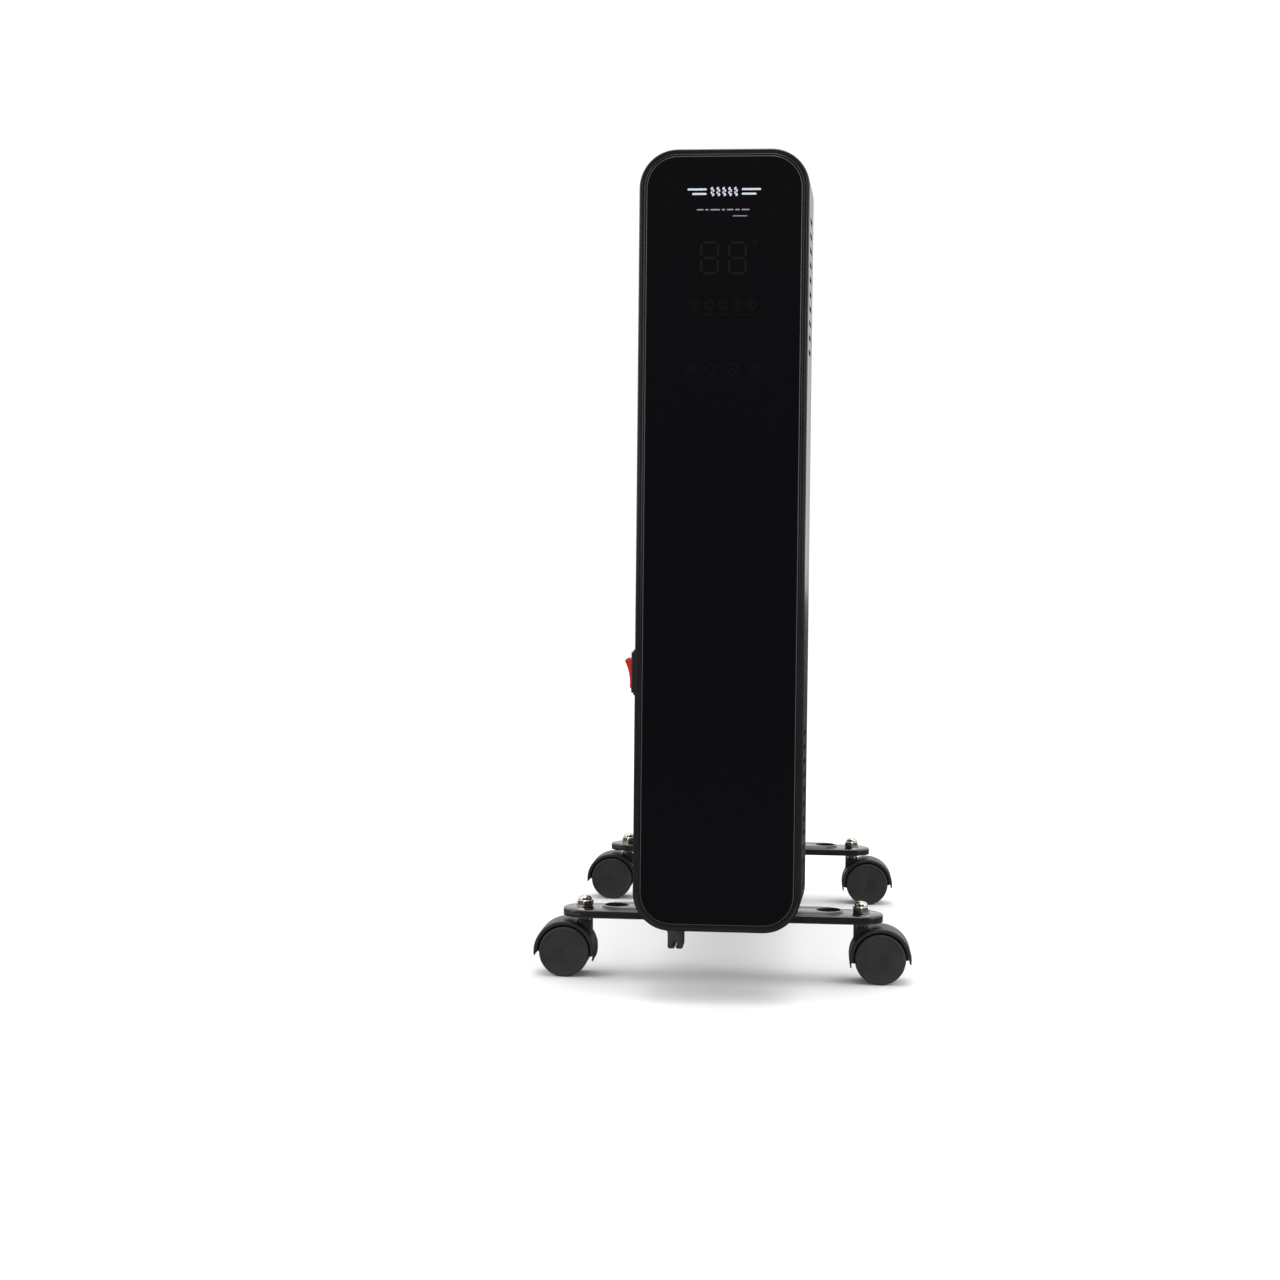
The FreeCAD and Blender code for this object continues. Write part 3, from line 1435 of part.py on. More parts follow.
def main():
    fill_sheet()
    make_glass_panel()
    make_panel_bezel()
    make_control_housing()
    make_back_plate()
    make_housing_screws()
    make_display()
    make_power_board()
    make_thermal_cutout()
    make_switch_frame()
    make_rocker_lever()
    make_switch_terminals()
    make_tip_switch()
    make_cord_gland()
    make_cord_clip()
    make_fins()
    make_end_caps()
    make_heating_element()
    make_foot_bars()
    make_u_bolts()
    make_casters()
    DOCUMENT.recompute()
    check_document()
    export_nodes()
    print(f"{len(NODES)} nodes written")


main()
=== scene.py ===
"""Looks of the oil filled radiator heater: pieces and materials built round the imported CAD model.

Everything is in metres, in the CAD model's own frame: +Z up, the glass panel faces -Y.
"""

import json
import math

import bmesh
import bpy
import mathutils
from mathutils import Matrix, Vector


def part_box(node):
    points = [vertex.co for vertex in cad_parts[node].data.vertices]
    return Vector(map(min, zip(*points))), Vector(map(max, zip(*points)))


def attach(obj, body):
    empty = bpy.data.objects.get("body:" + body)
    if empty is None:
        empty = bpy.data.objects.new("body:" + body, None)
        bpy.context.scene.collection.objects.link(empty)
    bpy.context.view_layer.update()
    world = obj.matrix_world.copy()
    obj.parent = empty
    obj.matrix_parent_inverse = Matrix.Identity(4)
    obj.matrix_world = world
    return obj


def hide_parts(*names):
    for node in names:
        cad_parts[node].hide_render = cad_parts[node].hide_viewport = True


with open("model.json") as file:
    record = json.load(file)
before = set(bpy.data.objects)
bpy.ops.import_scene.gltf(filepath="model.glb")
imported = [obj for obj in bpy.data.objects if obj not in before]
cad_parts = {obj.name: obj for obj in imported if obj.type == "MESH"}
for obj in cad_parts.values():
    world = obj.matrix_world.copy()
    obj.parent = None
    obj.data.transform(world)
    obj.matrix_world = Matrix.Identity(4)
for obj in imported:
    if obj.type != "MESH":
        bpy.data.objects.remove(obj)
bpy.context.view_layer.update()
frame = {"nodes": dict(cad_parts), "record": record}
NODES = frame["nodes"]
MM = 0.001
CORNERS = ("front_left", "front_right", "rear_left", "rear_right")


# ---- camera, light and floor ----

def add_camera():
    """The camera stands in front of the panel, a little to its right and half way up."""
    data = bpy.data.cameras.new("camera")
    data.lens = 55.27
    data.sensor_width = 36
    data.clip_end = 50
    camera = bpy.data.objects.new("camera", data)
    bpy.context.scene.collection.objects.link(camera)
    yaw, pitch, roll = (math.radians(angle) for angle in (4.976, -1.958, -0.564))
    turn = Matrix.Rotation(yaw, 4, "Z") @ Matrix.Rotation(math.pi / 2 + pitch, 4, "X")
    turn = turn @ Matrix.Rotation(-roll, 4, "Z")
    camera.matrix_world = Matrix.Translation((0.0692, -1.7544, 0.3292)) @ turn
    bpy.context.scene.camera = camera


ROOM_STRENGTH = 1.12


def add_area_light(name, place, target, size, power):
    data = bpy.data.lights.new(name, "AREA")
    data.shape = "RECTANGLE"
    data.size, data.size_y = size
    data.energy = power
    light = bpy.data.objects.new(name, data)
    bpy.context.scene.collection.objects.link(light)
    facing = (Vector(target) - Vector(place)).to_track_quat("-Z", "Y")
    light.matrix_world = Matrix.Translation(place) @ facing.to_matrix().to_4x4()


def add_world():
    """White room all round. Reflections see it dark in front of the panel, as a dark studio is."""
    world = bpy.data.worlds.new("studio")
    bpy.context.scene.world = world
    world.use_nodes = True
    tree = world.node_tree
    output = tree.nodes["World Output"]
    room = tree.nodes["Background"]
    room.inputs["Color"].default_value = (1, 1, 1, 1)
    backdrop = tree.nodes.new("ShaderNodeBackground")
    backdrop.inputs["Color"].default_value = (1, 1, 1, 1)
    backdrop.inputs["Strength"].default_value = 1.05
    direction = tree.nodes.new("ShaderNodeTexCoord")
    split = tree.nodes.new("ShaderNodeSeparateXYZ")
    ramp = tree.nodes.new("ShaderNodeMapRange")
    ramp.interpolation_type = "SMOOTHSTEP"
    ramp.inputs["From Min"].default_value = -0.75
    ramp.inputs["From Max"].default_value = -0.2
    ramp.inputs["To Min"].default_value = 0.075
    ramp.inputs["To Max"].default_value = 1.0
    rays = tree.nodes.new("ShaderNodeLightPath")
    strength = tree.nodes.new("ShaderNodeMix")
    strength.inputs["A"].default_value = ROOM_STRENGTH
    mix = tree.nodes.new("ShaderNodeMixShader")
    tree.links.new(direction.outputs["Generated"], split.inputs[0])
    tree.links.new(split.outputs["Y"], ramp.inputs["Value"])
    tree.links.new(rays.outputs["Is Glossy Ray"], strength.inputs["Factor"])
    tree.links.new(ramp.outputs["Result"], strength.inputs["B"])
    tree.links.new(strength.outputs["Result"], room.inputs["Strength"])
    tree.links.new(rays.outputs["Is Camera Ray"], mix.inputs[0])
    tree.links.new(room.outputs[0], mix.inputs[1])
    tree.links.new(backdrop.outputs[0], mix.inputs[2])
    tree.links.new(mix.outputs[0], output.inputs["Surface"])


def add_floor():
    """White sweep. Reflections see it much darker: a painted dark reflection of the floor."""
    mesh = bpy.data.meshes.new("studio_floor")
    half = 30.0
    corners = [(-half, -half, 0), (half, -half, 0), (half, half, 0), (-half, half, 0)]
    mesh.from_pydata(corners, [], [(0, 1, 2, 3)])
    floor = bpy.data.objects.new("studio_floor", mesh)
    bpy.context.scene.collection.objects.link(floor)
    material = bpy.data.materials.new("studio_floor")
    material.use_nodes = True
    tree = material.node_tree
    output = tree.nodes["Material Output"]
    sweep = tree.nodes.new("ShaderNodeBsdfDiffuse")
    sweep.inputs["Color"].default_value = (0.95, 0.95, 0.95, 1)
    # Colour seen only by glossy rays: a painted dark reflection, not a real dark surface.
    painted_dark_reflection = tree.nodes.new("ShaderNodeBsdfDiffuse")
    painted_dark_reflection.inputs["Color"].default_value = (0.065, 0.065, 0.065, 1)
    rays = tree.nodes.new("ShaderNodeLightPath")
    mix = tree.nodes.new("ShaderNodeMixShader")
    tree.links.new(rays.outputs["Is Glossy Ray"], mix.inputs[0])
    tree.links.new(sweep.outputs[0], mix.inputs[1])
    tree.links.new(painted_dark_reflection.outputs[0], mix.inputs[2])
    tree.links.new(mix.outputs[0], output.inputs["Surface"])
    mesh.materials.append(material)


def add_lights():
    bpy.context.scene.view_settings.view_transform = "Standard"
    add_world()
    add_floor()
    add_area_light("key_above", (0.1, -0.1, 2.4), (0, 0, 0.1), (1.6, 1.6), 22)
    add_area_light("left_strip", (-1.9, -0.9, 1.2), (0, -0.2, 0.2), (0.5, 2.0), 7)
    add_area_light("right_strip", (1.9, -0.7, 1.2), (0, -0.2, 0.2), (0.5, 2.0), 7)


# ---- materials ----

class Recipe:
    """A procedural material: broad colour variation, roughness variation and a fine bump."""

    def __init__(self, name):
        self.material = bpy.data.materials.new(name)
        self.material.use_nodes = True
        self.tree = self.material.node_tree
        self.shader = self.tree.nodes["Principled BSDF"]
        self.place = self.node("TexCoord").outputs["Object"]

    def node(self, kind, **settings):
        made = self.tree.nodes.new(f"ShaderNode{kind}")
        for name, value in settings.items():
            setattr(made, name, value)
        return made

    def link(self, source, target):
        self.tree.links.new(source, target)

    def set(self, **sockets):
        """Constant sockets, set on the shader itself."""
        for name, value in sockets.items():
            self.shader.inputs[name.replace("_", " ")].default_value = value
        return self

    def noise(self, size_mm, detail=4.0, rough=0.5, stretch=(1, 1, 1)):
        """A noise pattern whose features are about size_mm wide."""
        mapping = self.node("Mapping")
        mapping.inputs["Scale"].default_value = stretch
        noise = self.node("TexNoise")
        noise.inputs["Scale"].default_value = 1 / (size_mm * MM)
        noise.inputs["Detail"].default_value = detail
        noise.inputs["Roughness"].default_value = rough
        self.link(self.place, mapping.inputs["Vector"])
        self.link(mapping.outputs[0], noise.inputs["Vector"])
        return noise.outputs["Fac"]

    def ramp(self, factor, stops):
        """Colours at positions along a factor."""
        made = self.node("ValToRGB")
        elements = made.color_ramp.elements
        while len(elements) < len(stops):
            elements.new(0.5)
        for element, (position, colour) in zip(elements, stops):
            element.position = position
            element.color = (*colour, 1)
        self.link(factor, made.inputs["Fac"])
        return made.outputs["Color"]

    def range(self, factor, low, high, start=0.3, end=0.7):
        made = self.node("MapRange")
        made.inputs["From Min"].default_value = start
        made.inputs["From Max"].default_value = end
        made.inputs["To Min"].default_value = low
        made.inputs["To Max"].default_value = high
        self.link(factor, made.inputs["Value"])
        return made.outputs["Result"]

    def colour(self, source):
        self.link(source, self.shader.inputs["Base Color"])
        return self

    def rough(self, size_mm, low, high, stretch=(1, 1, 1)):
        varied = self.range(self.noise(size_mm, 3, 0.6, stretch), low, high)
        self.link(varied, self.shader.inputs["Roughness"])
        return self

    def bump(self, height, depth_mm, strength=0.6):
        made = self.node("Bump")
        made.inputs["Strength"].default_value = strength
        made.inputs["Distance"].default_value = depth_mm * MM
        self.link(height, made.inputs["Height"])
        self.link(made.outputs["Normal"], self.shader.inputs["Normal"])
        return self

    def edges(self, plain, edge_colour, spread=0.06):
        """Mixes from the plain colour to the edge colour on convex edges."""
        curvature = self.node("NewGeometry").outputs["Pointiness"]
        mask = self.range(curvature, 0.0, 1.0, 0.5 + spread / 2, 0.5 + spread * 2)
        mix = self.node("Mix", data_type="RGBA")
        self.link(mask, mix.inputs["Factor"])
        self.link(plain, mix.inputs[6])
        mix.inputs[7].default_value = (*edge_colour, 1)
        return mix.outputs[2]


def moulded_plastic(name, dark, light, rough, grain_mm=0.45, grain_depth=0.03):
    """Moulded plastic with a fine spark-eroded grain and a lighter colour on convex edges."""
    made = Recipe(name)
    body = made.ramp(made.noise(28), [(0.35, dark), (0.65, light)])
    made.colour(made.edges(body, tuple(c * 1.9 + 0.004 for c in light)))
    made.rough(9, rough - 0.06, rough + 0.07)
    made.bump(made.noise(grain_mm, 2, 0.55), grain_depth)
    return made.set(IOR=1.49).material


def gloss_plastic(name, dark, light, rough):
    """Polished plastic: long shallow waves and hairline wipe marks."""
    made = Recipe(name)
    made.colour(made.ramp(made.noise(60), [(0.3, dark), (0.7, light)]))
    made.rough(0.8, rough, rough + 0.07, (1, 1, 0.08))
    made.bump(made.noise(14, 1, 0.4), 0.02, 0.25)
    return made.set(IOR=1.5).material


def powder_coat(name, dark, light, rough, peel_mm=1.6, peel_depth=0.035):
    """Stoved paint on steel: orange peel, a little dust and a lighter colour on convex edges."""
    made = Recipe(name)
    body = made.ramp(made.noise(45), [(0.3, dark), (0.7, light)])
    made.colour(made.edges(body, tuple(c * 2.2 + 0.006 for c in light)))
    made.rough(6, rough - 0.04, rough + 0.08)
    made.bump(made.noise(peel_mm, 2, 0.4), peel_depth, 0.5)
    return made.set(IOR=1.52, Coat_Weight=0.25, Coat_Roughness=0.12).material


def plated_metal(name, dark, light, rough, spangle_mm=3.0):
    """Plated steel with a faint crystal pattern and fine scratches."""
    made = Recipe(name)
    spangle = made.node("TexVoronoi")
    spangle.inputs["Scale"].default_value = 1 / (spangle_mm * MM)
    made.link(made.place, spangle.inputs["Vector"])
    made.colour(made.ramp(spangle.outputs["Distance"], [(0.1, dark), (0.8, light)]))
    made.rough(1.2, rough - 0.05, rough + 0.1, (1, 1, 0.2))
    made.bump(made.noise(0.35, 3, 0.6), 0.01, 0.35)
    return made.set(Metallic=1.0).material


def black_glass():
    """Toughened glass painted near-black behind, with faint wipe marks and a painted reflection: a little
    lighter at the top and bluer in the middle.
    """
    made = Recipe("black_glass")
    height = made.node("SeparateXYZ")
    made.link(made.place, height.inputs[0])
    # Base colour by height is a painted reflection: lighter at the top, bluer in the middle.
    painted_reflection_height = made.range(height.outputs["Z"], 0.0, 1.0, 0.05, 0.65)
    bottom, middle, top = (0.0021, 0.0021, 0.0028), (0.002, 0.002, 0.0034), (0.003, 0.0028, 0.0031)
    body = made.ramp(painted_reflection_height, [(0.0, bottom), (0.55, middle), (1.0, top)])
    made.colour(body)
    made.rough(22, 0.03, 0.09)
    return made.set(IOR=1.42, Specular_IOR_Level=0.35).material


def printed_ink(name, colour, rough=0.5):
    """Screen printed ink with the slight mottle of the mesh it was pressed through."""
    made = Recipe(name)
    lighter = tuple(min(c * 1.12, 1) for c in colour)
    made.colour(made.ramp(made.noise(0.3, 2), [(0.35, colour), (0.65, lighter)]))
    made.rough(0.4, rough - 0.05, rough + 0.05)
    return made.material


def red_lens():
    """Translucent red switch plastic, darker where it is thick."""
    made = Recipe("switch_red")
    made.colour(made.ramp(made.noise(6), [(0.3, (0.62, 0.012, 0.008)), (0.7, (0.8, 0.03, 0.015))]))
    made.rough(2, 0.16, 0.26)
    made.bump(made.noise(0.5, 2), 0.01, 0.3)
    return made.set(Transmission_Weight=0.25, Subsurface_Weight=0.2, IOR=1.5).material


def make_materials():
    near_black = (0.012, 0.012, 0.013)
    soft_black = (0.02, 0.02, 0.021)
    return {
        "black_glass": black_glass(),
        "gloss_black": gloss_plastic("gloss_black", (0.007, 0.007, 0.008), (0.011, 0.011, 0.012), 0.14),
        "housing_black": gloss_plastic("housing_black", (0.009, 0.009, 0.01), (0.014, 0.014, 0.015), 0.22),
        "zinc_sheet": plated_metal("zinc_sheet", (0.42, 0.43, 0.44), (0.58, 0.59, 0.6), 0.4, 9),
        "zinc_steel": plated_metal("zinc_steel", (0.5, 0.49, 0.46), (0.68, 0.67, 0.63), 0.32, 2),
        "circuit_board": moulded_plastic(
            "circuit_board", (0.01, 0.09, 0.035), (0.014, 0.13, 0.05), 0.4, 1.2,
        ),
        "display_module": gloss_plastic("display_module", (0.02, 0.02, 0.022), (0.035, 0.035, 0.037), 0.2),
        "relay_case": moulded_plastic("relay_case", (0.03, 0.035, 0.04), (0.045, 0.05, 0.06), 0.45),
        "switch_black": moulded_plastic("switch_black", near_black, soft_black, 0.38),
        "switch_red": red_lens(),
        "brass_terminal": plated_metal("brass_terminal", (0.55, 0.38, 0.14), (0.78, 0.6, 0.28), 0.35, 2),
        "clip_black": moulded_plastic("clip_black", soft_black, (0.028, 0.028, 0.03), 0.45),
        "fin_black": powder_coat("fin_black", (0.01, 0.01, 0.011), (0.017, 0.017, 0.018), 0.3),
        "element_steel": plated_metal("element_steel", (0.35, 0.34, 0.32), (0.5, 0.48, 0.45), 0.4, 4),
        "gasket_rubber": moulded_plastic("gasket_rubber", soft_black, (0.03, 0.03, 0.03), 0.8, 0.8),
        "bar_black": powder_coat("bar_black", (0.008, 0.008, 0.009), (0.014, 0.014, 0.015), 0.2, 2.2, 0.03),
        "nickel_nut": plated_metal("nickel_nut", (0.66, 0.61, 0.53), (0.83, 0.79, 0.72), 0.15, 1.2),
        "caster_black": moulded_plastic("caster_black", (0.019, 0.019, 0.02), (0.028, 0.028, 0.029), 0.42),
        "wheel_black": moulded_plastic(
            "wheel_black", (0.022, 0.022, 0.023), (0.033, 0.033, 0.034), 0.5, 0.6, 0.04,
        ),
        "print_white": printed_ink("print_white", (0.5, 0.56, 0.62)),
        "print_dim": printed_ink("print_dim", (0.2, 0.23, 0.27)),
        "print_faint": printed_ink("print_faint", (0.0042, 0.004, 0.0045), 0.35),
        # Light grey for the glass's arris: a painted highlight line.
        "arris_painted_highlight": printed_ink("arris_painted_highlight", (0.055, 0.057, 0.06), 0.3),
    }


# ---- building pieces ----

def box_mm(node):
    """Lowest and highest corner of a CAD node, in millimetres."""
    low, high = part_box(node)
    return low * 1000, high * 1000


def middle_mm(node):
    low, high = box_mm(node)
    return (low + high) / 2


def spaced(*spans):
    """Positions through spans given as (start, end, steps)."""
    found = [spans[0][0]]
    for start, end, steps in spans:
        found.extend(start + (end - start) * (step + 1) / steps for step in range(steps))
    return found


def smooth(fraction):
    fraction = min(max(fraction, 0.0), 1.0)
    return fraction * fraction * (3 - 2 * fraction)


def rounded_outline(half_width, half_height, corner, steps=12):
    """Points round a rectangle with round corners, centred at 0."""
    points = []
    for quarter, (across, up) in enumerate(((1, 1), (-1, 1), (-1, -1), (1, -1))):
        for step in range(steps + 1):
            angle = math.radians(90 * (quarter + step / steps))
            x = across * (half_width - corner) + corner * math.cos(angle)
            y = up * (half_height - corner) + corner * math.sin(angle)
            points.append((x, y))
    return points


def inside_rounded(x, y, half_width, half_height, corner):
    """How far inside a rounded rectangle a point is; negative outside."""
    over_x = abs(x) - half_width + corner
    over_y = abs(y) - half_height + corner
    return corner - math.hypot(max(over_x, 0), max(over_y, 0)) - min(max(over_x, over_y), 0)


def arc(centre, radius, start, end, steps):
    """Points on an arc in a plane, angles in degrees."""
    angles = (math.radians(start + (end - start) * step / steps) for step in range(steps + 1))
    return [(centre[0] + radius * math.cos(a), centre[1] + radius * math.sin(a)) for a in angles]


class Shell:
    """Points and faces of one piece, in millimetres, built up surface by surface."""

    def __init__(self):
        self.points = []
        self.faces = []
        self.paint = []

    def add(self, points, faces, paint=0):
        first = len(self.points)
        self.points.extend(points)
        self.faces.extend(tuple(first + corner for corner in face) for face in faces)
        self.paint.extend(paint for _ in faces)

    def loft(self, rings, around=True, along=False, caps=(False, False), paint=0):
        """Quads between rings of equally many points."""
        count = len(rings[0])
        faces = []
        for row in range(len(rings) if along else len(rings) - 1):
            here = row * count
            there = (row + 1) % len(rings) * count
            for step in range(count if around else count - 1):
                after = (step + 1) % count
                faces.append((here + step, here + after, there + after, there + step))
        if caps[0]:
            faces.append(tuple(reversed(range(count))))
        if caps[1]:
            faces.append(tuple(range((len(rings) - 1) * count, len(rings) * count)))
        self.add([point for ring in rings for point in ring], faces, paint)

    def lathe(self, profile, centre, axis="Z", steps=48, closed=False, paint=0):
        """A profile of (radius, height) turned round an axis through centre."""
        rings = []
        for radius, height in profile:
            ring = []
            for step in range(steps):
                angle = 2 * math.pi * step / steps
                a, b = radius * math.cos(angle), radius * math.sin(angle)
                local = {"Z": (a, b, height), "Y": (a, height, b), "X": (height, a, b)}[axis]
                ring.append(tuple(c + d for c, d in zip(centre, local)))
            rings.append(ring)
        self.loft(rings, along=closed, paint=paint)

    def prism(self, outline, low, high, axis="Y", paint=0):
        """A closed outline carried from low to high along an axis."""
        def lift(level):
            if axis == "Y":
                return [(x, level, z) for x, z in outline]
            if axis == "X":
                return [(level, y, z) for y, z in outline]
            return [(x, y, level) for x, y in outline]
        self.loft([lift(low), lift(high)], caps=(True, True), paint=paint)

    def mesh(self, name, sharp=32, closed=True):
        """The finished mesh, in metres, with shared points joined and normals outward."""
        work = bmesh.new()
        corners = [work.verts.new(Vector(point) * MM) for point in self.points]
        for face, paint in zip(self.faces, self.paint):
            made = work.faces.new([corners[index] for index in face])
            made.material_index = paint
        bmesh.ops.remove_doubles(work, verts=work.verts, dist=2e-7)
        bmesh.ops.dissolve_degenerate(work, edges=work.edges, dist=1e-7)
        bmesh.ops.recalc_face_normals(work, faces=work.faces)
        if not closed:
            highest = max(work.faces, key=lambda face: face.calc_center_median().z)
            if highest.normal.z < 0:
                bmesh.ops.reverse_faces(work, faces=work.faces)
        made = bpy.data.meshes.new(name)
        work.to_mesh(made)
        work.free()
        made.shade_smooth()
        made.set_sharp_from_angle(angle=math.radians(sharp))
        return made


def piece(name, mesh, slot, body="radiator", replaces=(), matrix=None, materials=()):
    """Places a mesh as a visible piece of the object, in its slot's material unless others are given."""
    made = bpy.data.objects.new(name, mesh)
    bpy.context.scene.collection.objects.link(made)
    if not mesh.materials:
        for material in materials or (slot,):
            mesh.materials.append(MATERIALS[material])
    if matrix:
        made.matrix_world = matrix
    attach(made, body)
    if replaces:
        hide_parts(*replaces)
    return made


def bevel(made, width_mm, segments=3, angle=35):
    """Rounds the sharp edges of a piece."""
    modifier = made.modifiers.new("edges", "BEVEL")
    modifier.width = width_mm * MM
    modifier.segments = segments
    modifier.limit_method = "ANGLE"
    modifier.angle_limit = math.radians(angle)
    modifier.harden_normals = True
    return made


# ---- front panel: glass, printed signs and bezel ----

GLASS_CORNER = 24.0
PANEL_CORNER = 29.0
GLASS_LOW, GLASS_HIGH = box_mm("glass_panel")
GLASS_FRONT = GLASS_LOW.y


def panel_ring(half_width, half_height, corner, inset, y, middle):
    """The panel's round-cornered outline at a depth y, drawn smaller by inset."""
    outline = rounded_outline(half_width - inset, half_height - inset, corner - inset, 16)
    return [(middle.x + x, y, middle.z + z) for x, z in outline]


def make_glass():
    """Flat sheet with a ground arris all round its front edge, coloured light grey as a painted highlight
    line.
    """
    low, high = GLASS_LOW, GLASS_HIGH
    middle = middle_mm("glass_panel")
    half_width, half_height = high.x - middle.x, high.z - middle.z

    def ring(inset, depth):
        return panel_ring(half_width, half_height, GLASS_CORNER, inset, low.y + depth, middle)

    shell = Shell()
    shell.loft([ring(0, high.y - low.y), ring(0, 1.0), ring(0.12, 0.75)], caps=(True, False))
    # The arris takes the second material, a light grey: a painted highlight line round the glass.
    shell.loft([ring(0.12, 0.75), ring(0.4, 0.42), ring(0.72, 0.16)], paint=1)
    shell.loft([ring(0.72, 0.16), ring(1.0, 0.07), ring(1.5, 0.06)], caps=(False, True))
    piece(
        "glass_sheet", shell.mesh("glass_sheet"), "black_glass",
        replaces=("glass_panel",), materials=("black_glass", "arris_painted_highlight"),
    )


def along_path(path):
    """Each point of a path in a plane, with the unit direction across it there."""
    for index, (x, z) in enumerate(path):
        before = path[max(index - 1, 0)]
        after = path[min(index + 1, len(path) - 1)]
        along_x, along_z = after[0] - before[0], after[1] - before[1]
        length = math.hypot(along_x, along_z)
        yield x, z, -along_z / length, along_x / length


def ribbon(path, width):
    """Outline of a stroke of even width along a path."""
    left, right = [], []
    half = width / 2
    for x, z, across_x, across_z in along_path(path):
        left.append((x + across_x * half, z + across_z * half))
        right.append((x - across_x * half, z - across_z * half))
    return left + right[::-1]


class Print:
    """Ink on the front of the glass, a few hundredths of a millimetre thick."""

    def __init__(self):
        self.shell = Shell()

    def fill(self, outline):
        self.shell.prism(outline, GLASS_FRONT + 0.055, GLASS_FRONT + 0.01)

    def stroke(self, path, width):
        self.fill(ribbon(path, width))

    def pill(self, x, z, width, height):
        """A bar with round ends."""
        corner = min(width, height) / 2 * 0.98
        self.fill([(x + a, z + b) for a, b in rounded_outline(width / 2, height / 2, corner, 5)])

    def ring(self, x, z, radius, width, start=0, end=360):
        steps = max(6, round(abs(end - start) / 9))
        self.stroke(arc((x, z), radius, start, end, steps), width)

    def add(self, name, ink):
        piece(name, self.shell.mesh(name), "black_glass", materials=(ink,))


def make_heat_mark():
    """Heat waves between two bars near the top of the glass, and a row of dashes below them."""
    top = GLASS_HIGH.z
    mark = Print()
    level = top - 27
    for wave in range(-2, 3):
        path = [(wave * 4.4 + 0.95 * math.sin(t * 2.2), level + t) for t in spaced((-3.0, 3.0, 16))]
        mark.stroke(path, 1.25)
    for side in (-1, 1):
        mark.pill(side * 20.4, level + 1.7, 14.5, 1.5)
        mark.pill(side * 18.7, level - 1.7, 11.0, 1.5)
    mark.add("heat_mark", "print_white")
    dashes = Print()
    lengths = (5.0, 2.6, 7.2, 2.6, 5.0, 3.4, 6.0)
    x = -20.5
    for length in lengths:
        dashes.pill(x + length / 2, top - 40.5, length, 1.0)
        x += length + 1.3
    dashes.pill(12.0, top - 45.2, 11.0, 0.7)
    dashes.add("heat_mark_dashes", "print_dim")


def make_display_signs():
    """Unlit digits, mode signs and touch keys, just visible behind the glass."""
    window = middle_mm("led_display")
    signs = Print()
    for digit in (-1, 1):
        x = window.x + digit * 10.5
        for level in (-1, 0, 1):
            signs.pill(x, window.z + level * 11.5, 9.5, 1.8)
        for side in (-1, 1):
            for level in (-0.5, 0.5):
                signs.pill(x + side * 6.2, window.z + level * 11.5, 1.8, 9.0)
    signs.ring(window.x + 23.5, window.z + 11, 1.8, 0.7)
    row = window.z - 35
    for number in range(-2, 3):
        x = number * 10.5
        signs.ring(x, row, 3.3, 0.6)
        signs.pill(x, row + 0.6, 0.6, 3.2)
        signs.pill(x, row - 7.6, 6.0, 0.6)
    keys = middle_mm("touch_springs").z
    for number in range(4):
        x = (number - 1.5) * 16
        signs.ring(x, keys, 3.9, 0.5)
    signs.ring(-24, keys, 1.7, 0.5, 120, 420)
    signs.pill(-24, keys + 1.5, 0.5, 2.0)
    signs.pill(-8, keys, 3.0, 0.5)
    signs.pill(8, keys, 3.0, 0.5)
    signs.pill(8, keys, 0.5, 3.0)
    signs.ring(24, keys, 1.8, 0.5)
    signs.pill(24, keys + 0.6, 0.5, 1.4)
    signs.add("display_signs", "print_faint")


def make_bezel():
    """Frame round the glass: rounded shoulder, fine groove and an upright lip beside the glass."""
    low, high = box_mm("panel_bezel")
    middle = middle_mm("panel_bezel")
    depth = high.y - low.y
    flare = math.tan(math.radians(2.7))
    section = [
        (0.0, depth - 0.45), (0.0, 2.6), (0.1, 1.5), (0.4, 0.7), (0.95, 0.15), (1.5, 0.0), (1.9, 0.02),
        (2.15, 0.3), (2.35, 0.42), (2.6, 0.45), (3.9, 0.42), (4.1, 0.3), (4.3, 0.1), (4.5, 0.04),
        (4.75, 0.1), (4.92, 0.3), (4.95, 2.5), (9.0, 2.5), (9.0, 4.6),
        (3.0, 4.6), (3.0, depth), (1.1, depth), (1.1, depth - 0.45),
    ]
    rings = []
    for inset, back in section:
        half_width = high.x - middle.x - (depth - back) * flare
        half_height = high.z - middle.z
        rings.append(panel_ring(half_width, half_height, PANEL_CORNER, inset, low.y + back, middle))
    shell = Shell()
    shell.loft(rings, along=True)
    piece("bezel_frame", shell.mesh("bezel_frame", 50), "gloss_black", replaces=("panel_bezel",))


# ---- rocker switch ----

PIVOT = Vector((-63.6, middle_mm("rocker_lever").y, middle_mm("switch_frame").z))


